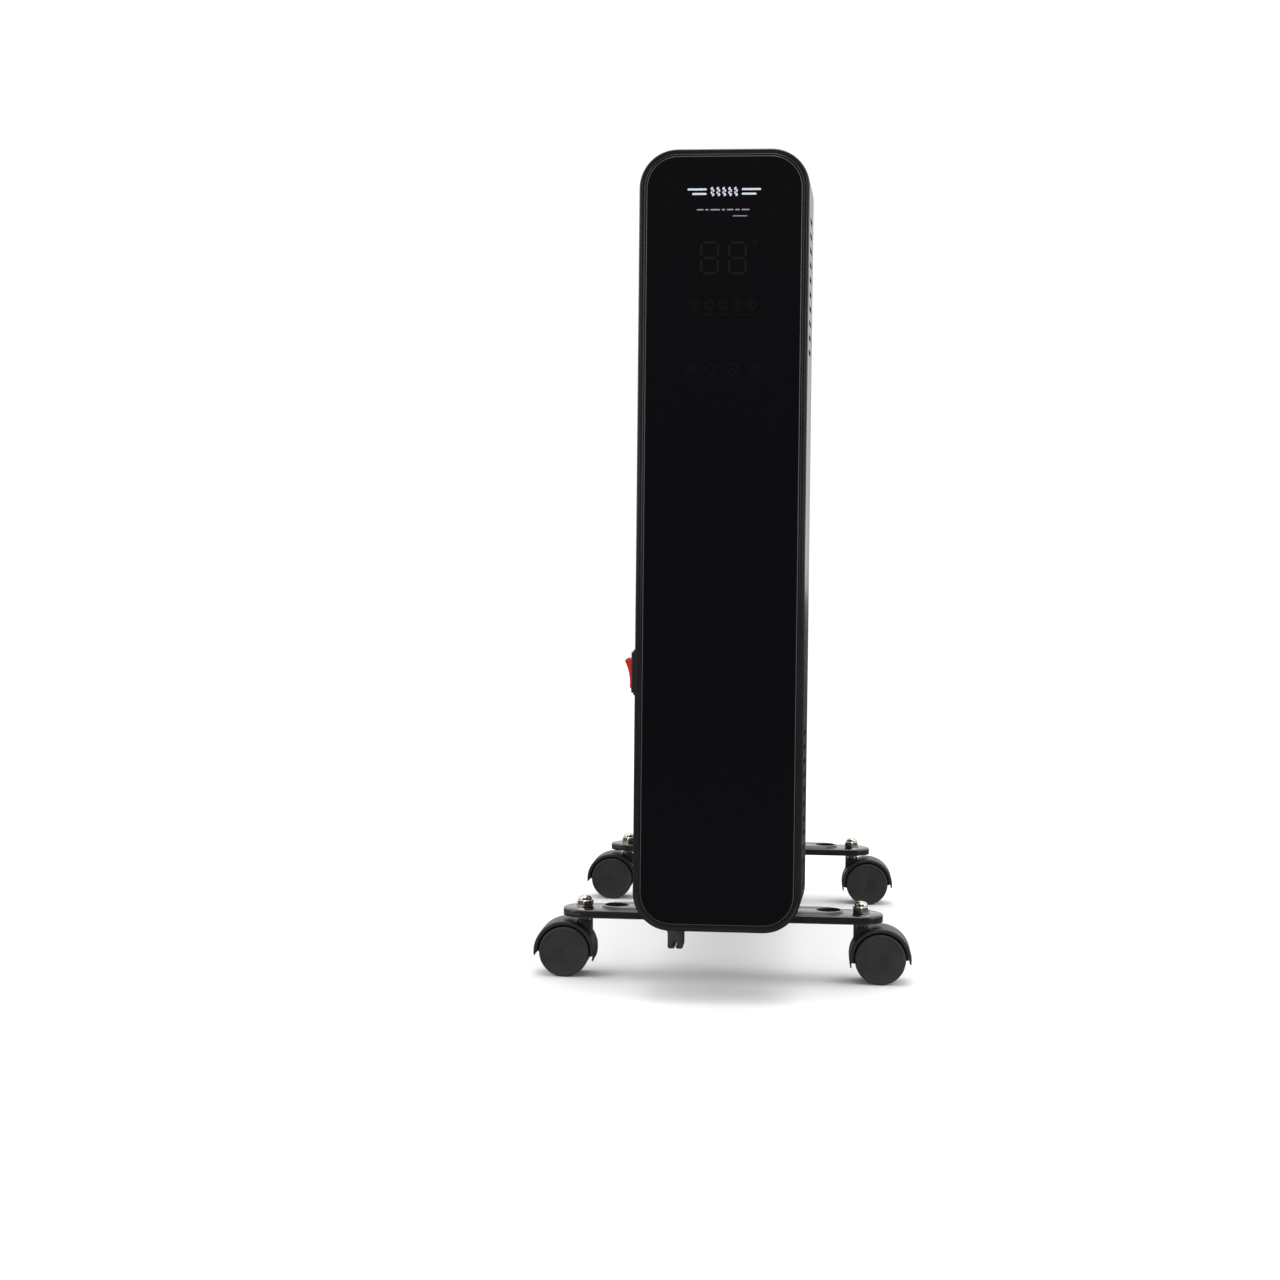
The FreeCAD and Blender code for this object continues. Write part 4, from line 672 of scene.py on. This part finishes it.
def make_switch_frame():
    """Snap-in frame: rounded flange, sloped inner edge and the chamber's walls."""
    face = box_mm("switch_frame")[0].x
    flange = face + 1.9
    back = face + 14.0
    section = [
        (12.5, 16.0, 1.6, flange), (12.5, 16.0, 1.6, face + 0.7), (12.3, 15.8, 1.4, face + 0.25),
        (11.8, 15.3, 1.0, face), (10.7, 14.6, 0.8, face), (9.9, 13.8, 0.5, face + 0.7),
        (9.8, 13.7, 0.4, back), (11.0, 14.3, 0.4, back), (11.0, 14.3, 0.4, flange),
    ]
    rings = []
    for half_width, half_height, corner, x in section:
        outline = rounded_outline(half_width, half_height, corner, 5)
        rings.append([(x, PIVOT.y + y, PIVOT.z + z) for y, z in outline])
    shell = Shell()
    shell.loft(rings, along=True)
    floor = [(PIVOT.y + y, PIVOT.z + z) for y, z in rounded_outline(10.9, 14.2, 0.4, 4)]
    shell.prism(floor, back - 1.0, back, "X")
    start, end, half = face + 4, face + 10, 0.4
    for ridge in range(-2, 3):
        for side in (-1, 1):
            at = PIVOT.z + ridge * 2.2
            bar = [(start, at - half), (end, at - half), (end, at + half), (start, at + half)]
            shell.prism(bar, PIVOT.y + side * 10.9, PIVOT.y + side * 11.2)
    piece("switch_surround", shell.mesh("switch_surround"), "switch_black", replaces=("switch_frame",))


def make_rocker():
    """Concave lever with its upper end out, and the on and off marks on its face."""
    radius, tip, skirt, tilt, face = 13.4, 52.0, 66.0, 11.0, 36.0

    def at(distance, angle):
        turn = math.radians(angle)
        return Vector((-distance * math.cos(turn), distance * math.sin(turn)))

    upper, lower = at(radius, tip - tilt), at(radius, -tip - tilt)
    chord = upper - lower
    centre = (upper + lower) / 2 + at(1, -tilt) * math.sqrt(face ** 2 - (chord.length / 2) ** 2)
    start = math.degrees(math.atan2(*(upper - centre).yx))
    end = math.degrees(math.atan2(*(lower - centre).yx))
    if end - start > 180:
        end -= 360
    if start - end > 180:
        end += 360
    outline = arc(centre, face, start, end, 20)
    outline += [tuple(at(radius, -angle - tilt)) for angle in spaced((tip + 4, skirt, 3))]
    outline += [(2.6, -2.6), (2.6, 2.6)]
    outline += [tuple(at(radius, angle - tilt)) for angle in spaced((skirt, tip + 4, 3))]
    half = 9.45
    shell = Shell()
    shell.prism([(PIVOT.x + x, PIVOT.z + z) for x, z in outline], PIVOT.y - half, PIVOT.y + half)
    shell.lathe([(0, -10.8), (1.15, -10.8), (1.15, 10.8), (0, 10.8)], PIVOT, "Y", 20)
    lever = piece("rocker_paddle", shell.mesh("rocker_paddle"), "switch_red", "rocker", ("rocker_lever",))
    bevel(lever, 0.45)

    marks = Shell()
    for sign, mark in ((1, "off"), (-1, "on")):
        angle = math.radians((start + end) / 2 + (start - end) / 2 * sign * 0.52)
        outward = Vector((-math.cos(angle), 0, -math.sin(angle)))
        spot = Vector((PIVOT.x + centre.x, PIVOT.y, PIVOT.z + centre.y)) - outward * (face - 0.03)
        turn = outward.to_track_quat("Z", "Y").to_matrix()
        local = Shell()
        if mark == "off":
            local.lathe([(1.7, 0), (2.2, 0), (2.2, 0.12), (1.7, 0.12)], (0, 0, 0), "Z", 28, closed=True)
        else:
            local.prism([(-0.28, -2.2), (0.28, -2.2), (0.28, 2.2), (-0.28, 2.2)], 0, 0.12, "Z")
            local.points = [(y, x, z) for x, y, z in local.points]
        marks.add([turn @ Vector(point) + spot for point in local.points], local.faces)
    piece("rocker_marks", marks.mesh("rocker_marks"), "switch_red", "rocker", materials=("print_white",))


# ---- cord clip ----

def make_cord_clip():
    """Split clip: two blunt jaws round a narrow channel, under a small foot plate."""
    low, high = box_mm("cord_clip")
    middle = middle_mm("cord_clip")
    top = box_mm("control_housing")[0].z
    half = (high.x - low.x) / 2
    channel, gap, corner, shoulder = 1.6, 0.22, 1.2, 0.4
    jaw = half - shoulder
    level = low.z + 3.3
    slot_angle = math.degrees(math.asin(gap / channel))
    outline = [(-half, top), (-half, top - 6.0), (-jaw, top - 6.8), (-jaw, low.z + corner)]
    outline += [(-jaw + corner, low.z), (-gap - corner, low.z), (-gap, low.z + corner)]
    outline += arc((0, level), channel, 270 - slot_angle, -90 + slot_angle, 28)
    outline += [(gap, low.z + corner), (gap + corner, low.z), (jaw - corner, low.z)]
    outline += [(jaw, low.z + corner), (jaw, top - 6.8), (half, top - 6.0), (half, top)]
    shell = Shell()
    shell.prism([(middle.x + x, z) for x, z in outline], low.y, high.y)
    overhang = 0.9
    plate = rounded_outline(half + overhang, (high.y - low.y) / 2 + overhang, 1.5, 5)
    shell.prism([(middle.x + x, middle.y + y) for x, y in plate], top - 1.3, top, "Z")
    plug = [(0, 0), (3.0, 0), (3.0, 2.2), (4.2, 2.4), (3.4, 5.0), (0, 5.0)]
    shell.lathe(plug, (middle.x, middle.y, top - 0.2), "Z", 32)
    clip = piece("clip_jaws", shell.mesh("clip_jaws"), "clip_black", replaces=("cord_clip",))
    bevel(clip, 0.35)


# ---- fins ----

FIN_LOW, FIN_HIGH = box_mm("fin_01")
FIN_MIDDLE = (FIN_LOW.z + FIN_HIGH.z) / 2
FIN_HALF_HEIGHT = (FIN_HIGH.z - FIN_LOW.z) / 2
FIN_HALF_WIDTH = (FIN_HIGH.x - FIN_LOW.x) / 2
FIN_PITCH = middle_mm("fin_02").y - middle_mm("fin_01").y
FIN_NAMES = sorted(name for name in NODES if name.startswith("fin_"))
HUB_INSET = 34
HUB_LEVELS = (FIN_LOW.z + HUB_INSET, FIN_HIGH.z - HUB_INSET)
FIN_CORNER = 26.0
SEAM_HALF = 0.8
CHANNEL_HALF = 6.5
WEB_CENTRE = 19.5
SPOT_WELD_PITCH = 40


def fin_half_thickness(x, z):
    """Half the fin's thickness: thin rolled seam, flat webs, and smoothly pressed oil channels."""
    rim = inside_rounded(x, z, FIN_HALF_WIDTH, FIN_HALF_HEIGHT, FIN_CORNER)
    channel = inside_rounded(x, z, 52.0, FIN_HALF_HEIGHT - 8.6, 25.0)
    web = inside_rounded(abs(x) - WEB_CENTRE, z, 7.5, FIN_HALF_HEIGHT - 62.6, 7.0)
    rise = smooth(min(channel, -web) / 6.5)
    seam = SEAM_HALF * math.sqrt(min(max(rim / 0.8, 0.1), 1.0))
    roller = 0.3 * math.exp(-(((rim - 4.6) / 0.9) ** 2))
    return seam - roller + (CHANNEL_HALF - SEAM_HALF) * rise


def fin_mesh():
    """One fin: two pressed sheets, closer rows where the surface bends, drawn hubs and spot welds."""
    ends = spaced((0, 0.8, 2), (0.8, 3.5, 2), (3.5, 6.0, 4), (6.0, 8.6, 1), (8.6, 15.4, 7))
    ends += spaced((15.4, 26, 5), (26, 54, 5))[1:]
    ends += spaced((55.5, 71, 12), (76, FIN_HALF_HEIGHT, 6))
    rows = [distance - FIN_HALF_HEIGHT for distance in ends]
    rows += [-z for z in reversed(rows[:-1])]
    half = spaced((0, 5.5, 2), (5.5, 12, 6), (12, 15, 1), (15, 24, 2), (24, 27, 1))
    half += spaced((27, 33.5, 6), (33.5, 45.5, 3))[1:]
    half += spaced((46.5, 52, 5), (54, 56, 2), (56.7, 58.7, 4), (60, 61.2, 2), (61.6, FIN_HALF_WIDTH, 1))
    columns = [-x for x in reversed(half[1:])] + half
    front, back = [], []
    for z in rows:
        drop = max(abs(z) - (FIN_HALF_HEIGHT - FIN_CORNER), 0)
        width = FIN_HALF_WIDTH - FIN_CORNER + math.sqrt(max(FIN_CORNER ** 2 - drop ** 2, 0))
        line = [(x * width / FIN_HALF_WIDTH, z) for x in columns]
        front.append([(x, -fin_half_thickness(x, z), FIN_MIDDLE + z) for x, z in line])
        back.append([(x, fin_half_thickness(x, z), FIN_MIDDLE + z) for x, z in line])
    shell = Shell()
    shell.loft(front, around=False)
    shell.loft(back, around=False)
    shell.loft([front[0], back[0]], around=False)
    shell.loft([front[-1], back[-1]], around=False)
    shell.loft([[row[0] for row in front], [row[0] for row in back]], around=False)
    shell.loft([[row[-1] for row in front], [row[-1] for row in back]], around=False)
    reach = FIN_PITCH / 2
    for side in (-1, 1):
        hub = [
            (18, 2.0), (30.5, 2.0), (30.5, 6.3), (27.6, 6.9), (25.2, 8.2), (23.5, 10.2), (22.6, 12.6),
            (22.4, 15.0), (22.4, reach - 1.4), (22.0, reach - 0.5), (21.1, reach - 0.02), (18, reach - 0.02),
        ]
        for level in HUB_LEVELS:
            shell.lathe([(r, y * side) for r, y in hub], (0, 0, level), "Y", 56, closed=True)
        nugget = [(0, 1.05), (1.5, 1.0), (1.9, 1.25), (2.5, 1.15), (2.9, 0.75), (2.9, 0.5), (0, 0.5)]
        for across in (-WEB_CENTRE, WEB_CENTRE):
            for step in range(-5, 6):
                spot = (across, 0, FIN_MIDDLE + step * SPOT_WELD_PITCH)
                shell.lathe([(r, y * side) for r, y in nugget], spot, "Y", 14)
    return shell.mesh("fin_skin", 45)


def make_fins():
    mesh = fin_mesh()
    for name in FIN_NAMES:
        place = Matrix.Translation((0, middle_mm(name).y * MM, 0))
        piece(name.replace("fin", "fin_skin"), mesh, "fin_black", replaces=(name,), matrix=place)


def weld_bead(shell, centre, radius, size=0.95):
    """A rippled bead of weld round a hub."""
    rings = []
    for step in range(120):
        angle = 2 * math.pi * step / 120
        swell = size * (1 + 0.14 * math.sin(angle * 40))
        ring = []
        for turn in range(8):
            roll = 2 * math.pi * turn / 8
            reach = radius + swell * math.cos(roll)
            local = (reach * math.cos(angle), swell * math.sin(roll), reach * math.sin(angle))
            ring.append(tuple(a + b for a, b in zip(centre, local)))
        rings.append(ring)
    shell.loft(rings, along=True)


def make_hub_welds():
    shell = Shell()
    first = middle_mm("fin_01").y
    for gap in range(len(FIN_NAMES) - 1):
        for level in HUB_LEVELS:
            weld_bead(shell, (0, first + FIN_PITCH * (gap + 0.5), level), 21.9)
    rear = first + FIN_PITCH * (len(FIN_NAMES) - 0.5)
    for level in HUB_LEVELS:
        weld_bead(shell, (0, rear - 0.95, level), 19.0, 0.75)
    piece("hub_weld_beads", shell.mesh("hub_weld_beads", 80), "fin_black")


# ---- foot bars and their bolts ----

STEM_X = 112.4
BAR_HOLE_X = 86.0
BAR_HOLE_RADIUS = 9.6


def make_foot_bars():
    """Pressed bar: turned-down skirt, rounded edge, raised middle pad and two rolled holes."""
    low, high = box_mm("front_foot_bar")
    half_length, half_width = (high.x - low.x) / 2, (high.y - low.y) / 2
    pad_rise, lip_depth, edge_drop, crease_depth = 2.3, 1.4, 1.6, 0.45
    top, skirt, plate = high.z, low.z + lip_depth, high.z - pad_rise
    shoulder = plate - edge_drop
    lip_end, lip_run = 98, 4

    def ring(inset, level, half_x=half_length, half_y=half_width):
        outline = rounded_outline(half_x - inset, half_y - inset, half_y - inset - 0.01, 20)
        return [(x, y, level) for x, y in outline]

    def skirt_edge(x, y):
        """The skirt's lower edge: deeper between the stems in front, and open behind."""
        between = smooth((lip_end - abs(x)) / lip_run)
        if y < 0:
            return skirt - lip_depth * between
        return skirt + (shoulder - 0.2 - skirt) * between

    outer, inner = ring(0, 0), ring(crease_depth, 0)
    lower = [(x, y, skirt_edge(x, y)) for x, y, _ in outer]
    shell = Shell()
    rings = [lower]
    for share in (-1, 0, 1):
        row = []
        for (x, y, level), (inner_x, inner_y, _) in zip(lower, inner):
            depth = min((shoulder - level) / 9, 1)
            inward = depth * (1 - abs(share))
            crease = level + (shoulder - level) * 0.45 + share * 0.35 * depth
            row.append((x + (inner_x - x) * inward, y + (inner_y - y) * inward, crease))
        rings.append(row)
    rings += [ring(0, shoulder), ring(0.15, plate - 0.75), ring(0.55, plate - 0.22), ring(1.3, plate)]
    pad_length, pad_width = 98.5, 16.0
    ramp = [(-1.2, 0.0), (-0.5, 0.15), (0.1, 0.75), (0.7, 1.6), (1.2, 2.15), (1.8, pad_rise)]
    rings += [ring(inset, plate + rise, pad_length, pad_width) for inset, rise in ramp]
    shell.loft(rings)
    edge = rings[-1]
    lips = []
    for side in (-1, 1):
        lip = []
        for widening, drop in ((0.6, 0.0), (0.25, 0.15), (0.05, 0.5), (0.0, 1.2)):
            circle = arc((BAR_HOLE_X * side, 0), BAR_HOLE_RADIUS + widening, 0, 360, 44)[:-1]
            lip.append([(x, y, top - drop) for x, y in circle])
        shell.loft(lip)
        lips.append(lip[0])
    loops = [edge] + lips
    flat = [point for loop in loops for point in loop]
    outlines = [[Vector(point) for point in loop] for loop in loops]
    triangles = mathutils.geometry.tessellate_polygon(outlines)
    shell.add(flat, triangles)
    mesh = shell.mesh("foot_bar_pressing", 40, closed=False)
    for name in ("front", "rear"):
        place = Matrix.Translation((0, middle_mm(f"{name}_foot_bar").y * MM, 0))
        bar = piece(f"{name}_bar_pressing", mesh, "bar_black", replaces=(f"{name}_foot_bar",), matrix=place)
        sheet = bar.modifiers.new("sheet", "SOLIDIFY")
        sheet.thickness = 1.5 * MM
        sheet.offset = -1
        sheet.use_even_offset = True
        bevel(bar, 0.25, 2, 50)


def thread(shell, x, y, low, high, radius, pitch):
    """A rod with a screw thread."""
    depth = pitch * 0.55
    rings = []
    for row in range(round((high - low) / pitch * 5) + 1):
        z = min(low + row * pitch / 5, high)
        taper = 0.5 * (1 - smooth(min(z - low, high - z) / 0.8))
        ring = []
        for step in range(30):
            angle = 2 * math.pi * step / 30
            groove = 0.5 + 0.5 * math.cos(2 * math.pi * z / pitch - angle)
            reach = radius - depth * groove - taper
            ring.append((x + reach * math.cos(angle), y + reach * math.sin(angle), z))
        rings.append(ring)
    shell.loft(rings, caps=(True, True))


def tube(shell, path, y, radius, steps=20):
    """A round bar along a path in the plane at y."""
    rings = []
    for x, z, across_x, across_z in along_path(path):
        ring = []
        for step in range(steps):
            angle = 2 * math.pi * step / steps
            off = radius * math.cos(angle)
            ring.append((x + across_x * off, y + radius * math.sin(angle), z + across_z * off))
        rings.append(ring)
    shell.loft(rings, caps=(True, True))


def make_u_bolts():
    for name in ("front", "rear"):
        node = f"{name}_u_bolt"
        low, high = box_mm(node)
        y = (low.y + high.y) / 2
        rod = 3.0
        reach = high.x - rod
        hub = HUB_LEVELS[0]
        shell = Shell()
        thread_top = low.z + 18
        leg = [(reach, thread_top), (reach, thread_top + 0.6)]
        other_leg = [(-x, z) for x, z in reversed(leg)]
        path = leg + arc((0, hub), reach, 0, 180, 32) + other_leg
        tube(shell, path, y, rod)
        for side in (-1, 1):
            thread(shell, reach * side, y, low.z, thread_top + 0.5, rod, 1.0)
        piece(f"{name}_u_bolt_rod", shell.mesh(f"{name}_u_bolt_rod", 50), "zinc_steel", replaces=(node,))


def stem_place(corner):
    """Where a caster's stem stands: x and y."""
    side = -1 if corner.endswith("left") else 1
    return STEM_X * side, middle_mm(f"{corner.split('_')[0]}_foot_bar").y


def hex_ring(centre, level, apothem, limit, steps=96):
    """A hexagon's outline cut back to a circle where it reaches further out."""
    ring = []
    for step in range(steps):
        angle = 2 * math.pi * step / steps
        off = (angle + math.pi / 6) % (math.pi / 3) - math.pi / 6
        reach = min(apothem / math.cos(off), limit)
        ring.append((centre[0] + reach * math.cos(angle), centre[1] + reach * math.sin(angle), level))
    return ring


def make_cap_nuts():
    """Plated dome nuts: chamfered hexagon, neck and polished dome."""
    low, high = box_mm("cap_nuts")
    apothem, shoulder = 6.5, 5.8
    corner_reach = 7.5
    chamfer_reach = 6.9
    for corner in CORNERS:
        centre = stem_place(corner)
        shell = Shell()
        rings = []
        for rise, reach in (
            (0, 6.35), (0.35, chamfer_reach), (0.8, corner_reach), (shoulder - 0.9, corner_reach),
            (shoulder - 0.35, chamfer_reach), (shoulder, 6.2),
        ):
            rings.append(hex_ring(centre, low.z + rise, apothem, reach))
        for radius, rise in ((5.6, 0.0), (5.4, 0.25)):
            rings.append(hex_ring(centre, low.z + shoulder + rise, 99, radius))
        height = high.z - low.z - shoulder
        for angle in spaced((12, 86, 12)):
            turn = math.radians(angle)
            level = low.z + shoulder + 0.1 + (height - 0.1) * math.sin(turn)
            rings.append(hex_ring(centre, level, 99, 5.5 * math.cos(turn) ** 0.8))
        shell.loft(rings, caps=(True, True))
        replaced = ("cap_nuts",) if corner == CORNERS[0] else ()
        piece(f"{corner}_dome_nut", shell.mesh(f"{corner}_dome_nut", 28), "nickel_nut", replaces=replaced)


def make_stems():
    """Turned stem collars with a lock washer under each bar's end."""
    low, high = box_mm("caster_stems")
    collar = 46.0
    profile = [
        (0, low.z), (2.6, low.z), (3.0, low.z + 0.5), (3.0, collar - 0.1), (5.4, collar),
        (5.9, collar + 0.4), (5.9, collar + 1.5), (5.5, collar + 1.9), (4.6, collar + 1.9),
        (4.6, 51.4), (6.6, 51.5), (6.9, 51.8), (6.9, 52.6), (6.6, 52.9), (4.0, 52.9),
        (4.0, high.z - 0.6), (3.4, high.z), (0, high.z),
    ]
    for corner in CORNERS:
        shell = Shell()
        shell.lathe(profile, (*stem_place(corner), 0), "Z", 40)
        replaced = ("caster_stems",) if corner == CORNERS[0] else ()
        piece(f"{corner}_stem", shell.mesh(f"{corner}_stem"), "zinc_steel", replaces=replaced)


# ---- casters ----

AXLE = middle_mm("front_right_wheel_inner")
WHEEL_RADIUS = AXLE.z
CASTER_TRAIL = AXLE.x - STEM_X
WHEEL_OFFSET = 5.0


def fork_mesh():
    """Hood over both wheels, web between them, axle boss and the block round the stem."""
    centre = Vector((CASTER_TRAIL, 0, WHEEL_RADIUS))
    shell = Shell()
    mean, thick, half_depth = 23.6, 1.6, 15.5
    low_tip, high_tip, hook = -8.0, 197.0, 8.5
    section = rounded_outline(half_depth, thick, 1.25, 5)
    step = 1.2
    low_hook, high_hook = low_tip + hook, high_tip - hook
    spans = [
        (low_tip, low_tip + 1, 3), (low_tip + 1, low_hook, 4), (low_hook, low_hook + step, 3),
        (low_hook + step, high_hook - step, 60), (high_hook - step, high_hook, 3),
        (high_hook, high_tip - 1, 4), (high_tip - 1, high_tip, 3),
    ]
    rings = []
    for angle in spaced(*spans):
        tip = min(angle - low_tip, high_tip - angle)
        size = math.sqrt(1 - (1 - min(max(tip / 2.0, 0.03), 1)) ** 2)
        thinned = 0.62 * (1 - smooth((tip - hook) / step))
        turn = math.radians(angle)
        ring = []
        for y, r in section:
            crown = 0.3 * (1 - (y / half_depth) ** 2) if r > 0 else 0.0
            off = thick + (r - thick) * (1 - thinned) * (0.4 + 0.6 * size)
            reach = mean + off - 0.3 + crown
            across = y - math.copysign((1 - size) * 1.0, y)
            ring.append((centre.x + reach * math.cos(turn), across, centre.z + reach * math.sin(turn)))
        rings.append(ring)
    shell.loft(rings, caps=(True, True))
    shell.prism(arc((centre.x, centre.z), 22.6, low_tip + 3, high_tip - 3, 48), -4.5, 4.5)
    boss = [(0, -4.5), (6.6, -4.5), (7.5, -4.2), (7.5, 4.2), (6.6, 4.5), (0, 4.5)]
    shell.lathe(boss, centre, "Y", 40)
    block = arc((centre.x, centre.z), mean, 155.6, 114.4, 12)
    block += [(5.9, 45.2), (5.3, 45.7), (4.4, 45.5), (3.5, 44.2)]
    block += [(-3.5, 44.2), (-4.4, 45.5), (-5.3, 45.7), (-5.9, 45.2)]
    shell.prism(block, -6.2, 6.2)
    return shell.mesh("caster_hood", 40)


def wheel_mesh():
    """Moulded wheel: crowned tread, face with a fine ring and centre mark, ribbed inner side."""
    shell = Shell()
    width = 10.5
    tread, rim = WHEEL_RADIUS, 17.4
    profile = [
        (2.6, 0.1), (5.2, 0.1), (5.5, 0.4), (5.5, 8.0), (rim - 0.4, 8.0), (rim, 7.6), (rim, 0.9),
        (rim + 0.3, 0.5), (tread - 1.4, 0.5), (tread - 0.5, 0.75), (tread - 0.15, 1.3), (tread, 2.2),
        (tread, 5.0), (tread, 8.6), (tread - 0.15, 9.4), (tread - 0.5, 10.1), (tread - 1.2, width),
        (tread - 2.1, width), (tread - 2.5, 10.4), (tread - 2.8, 10.25), (tread - 3.3, 10.2),
        (12.0, 10.24), (1.2, 10.26),
        (0.95, 10.1), (0.5, 10.0), (0, 10.0), (0, 9.0), (2.6, 9.0),
    ]
    shell.lathe(profile, (0, 0, 0), "Y", 96, closed=True)
    for rib in range(6):
        turn = math.radians(60 * rib + 30)
        across = Vector((-math.sin(turn), 0, math.cos(turn))) * 0.7
        outward = Vector((math.cos(turn), 0, math.sin(turn)))
        inner, outer = outward * 5.2, outward * (rim + 0.3)
        loop = [inner - across, outer - across, outer + across, inner + across]
        levels = [[tuple(point + Vector((0, y, 0))) for point in loop] for y in (2.6, 8.4)]
        shell.loft(levels, caps=(True, True))
    return shell.mesh("caster_wheel", 40)


def make_casters():
    fork, wheel = fork_mesh(), wheel_mesh()
    for corner in CORNERS:
        stem_x, bar = stem_place(corner)
        turn = Matrix.Rotation(0 if stem_x > 0 else math.pi, 4, "Z")
        place = Matrix.Translation(Vector((stem_x, bar, 0)) * MM) @ turn
        node = f"{corner}_caster_fork"
        hood = piece(f"{corner}_hood", fork, "caster_black", f"{corner}_caster", (node,), place)
        bevel(hood, 0.3, 2, 60)
        for name, outward in (("inner", 1), ("outer", -1)):
            node = f"{corner}_wheel_{name}"
            hub = Vector((middle_mm(node).x, bar + WHEEL_OFFSET * outward, WHEEL_RADIUS))
            turn = Matrix.Rotation(0 if outward > 0 else math.pi, 4, "Z")
            place = Matrix.Translation(hub * MM) @ turn
            piece(f"{corner}_{name}_tyre", wheel, "wheel_black", node, (node,), place)


def make_pieces():
    make_glass()
    make_heat_mark()
    make_display_signs()
    make_bezel()
    make_switch_frame()
    make_rocker()
    make_cord_clip()
    make_fins()
    make_hub_welds()
    make_foot_bars()
    make_u_bolts()
    make_cap_nuts()
    make_stems()
    make_casters()


add_camera()
add_lights()
MATERIALS = make_materials()
SLOT_OF = {part["node"]: part["material_slot"] for part in frame["record"]["subparts"]}
for name, node in NODES.items():
    node.data.materials.clear()
    node.data.materials.append(MATERIALS[SLOT_OF[name]])

make_pieces()
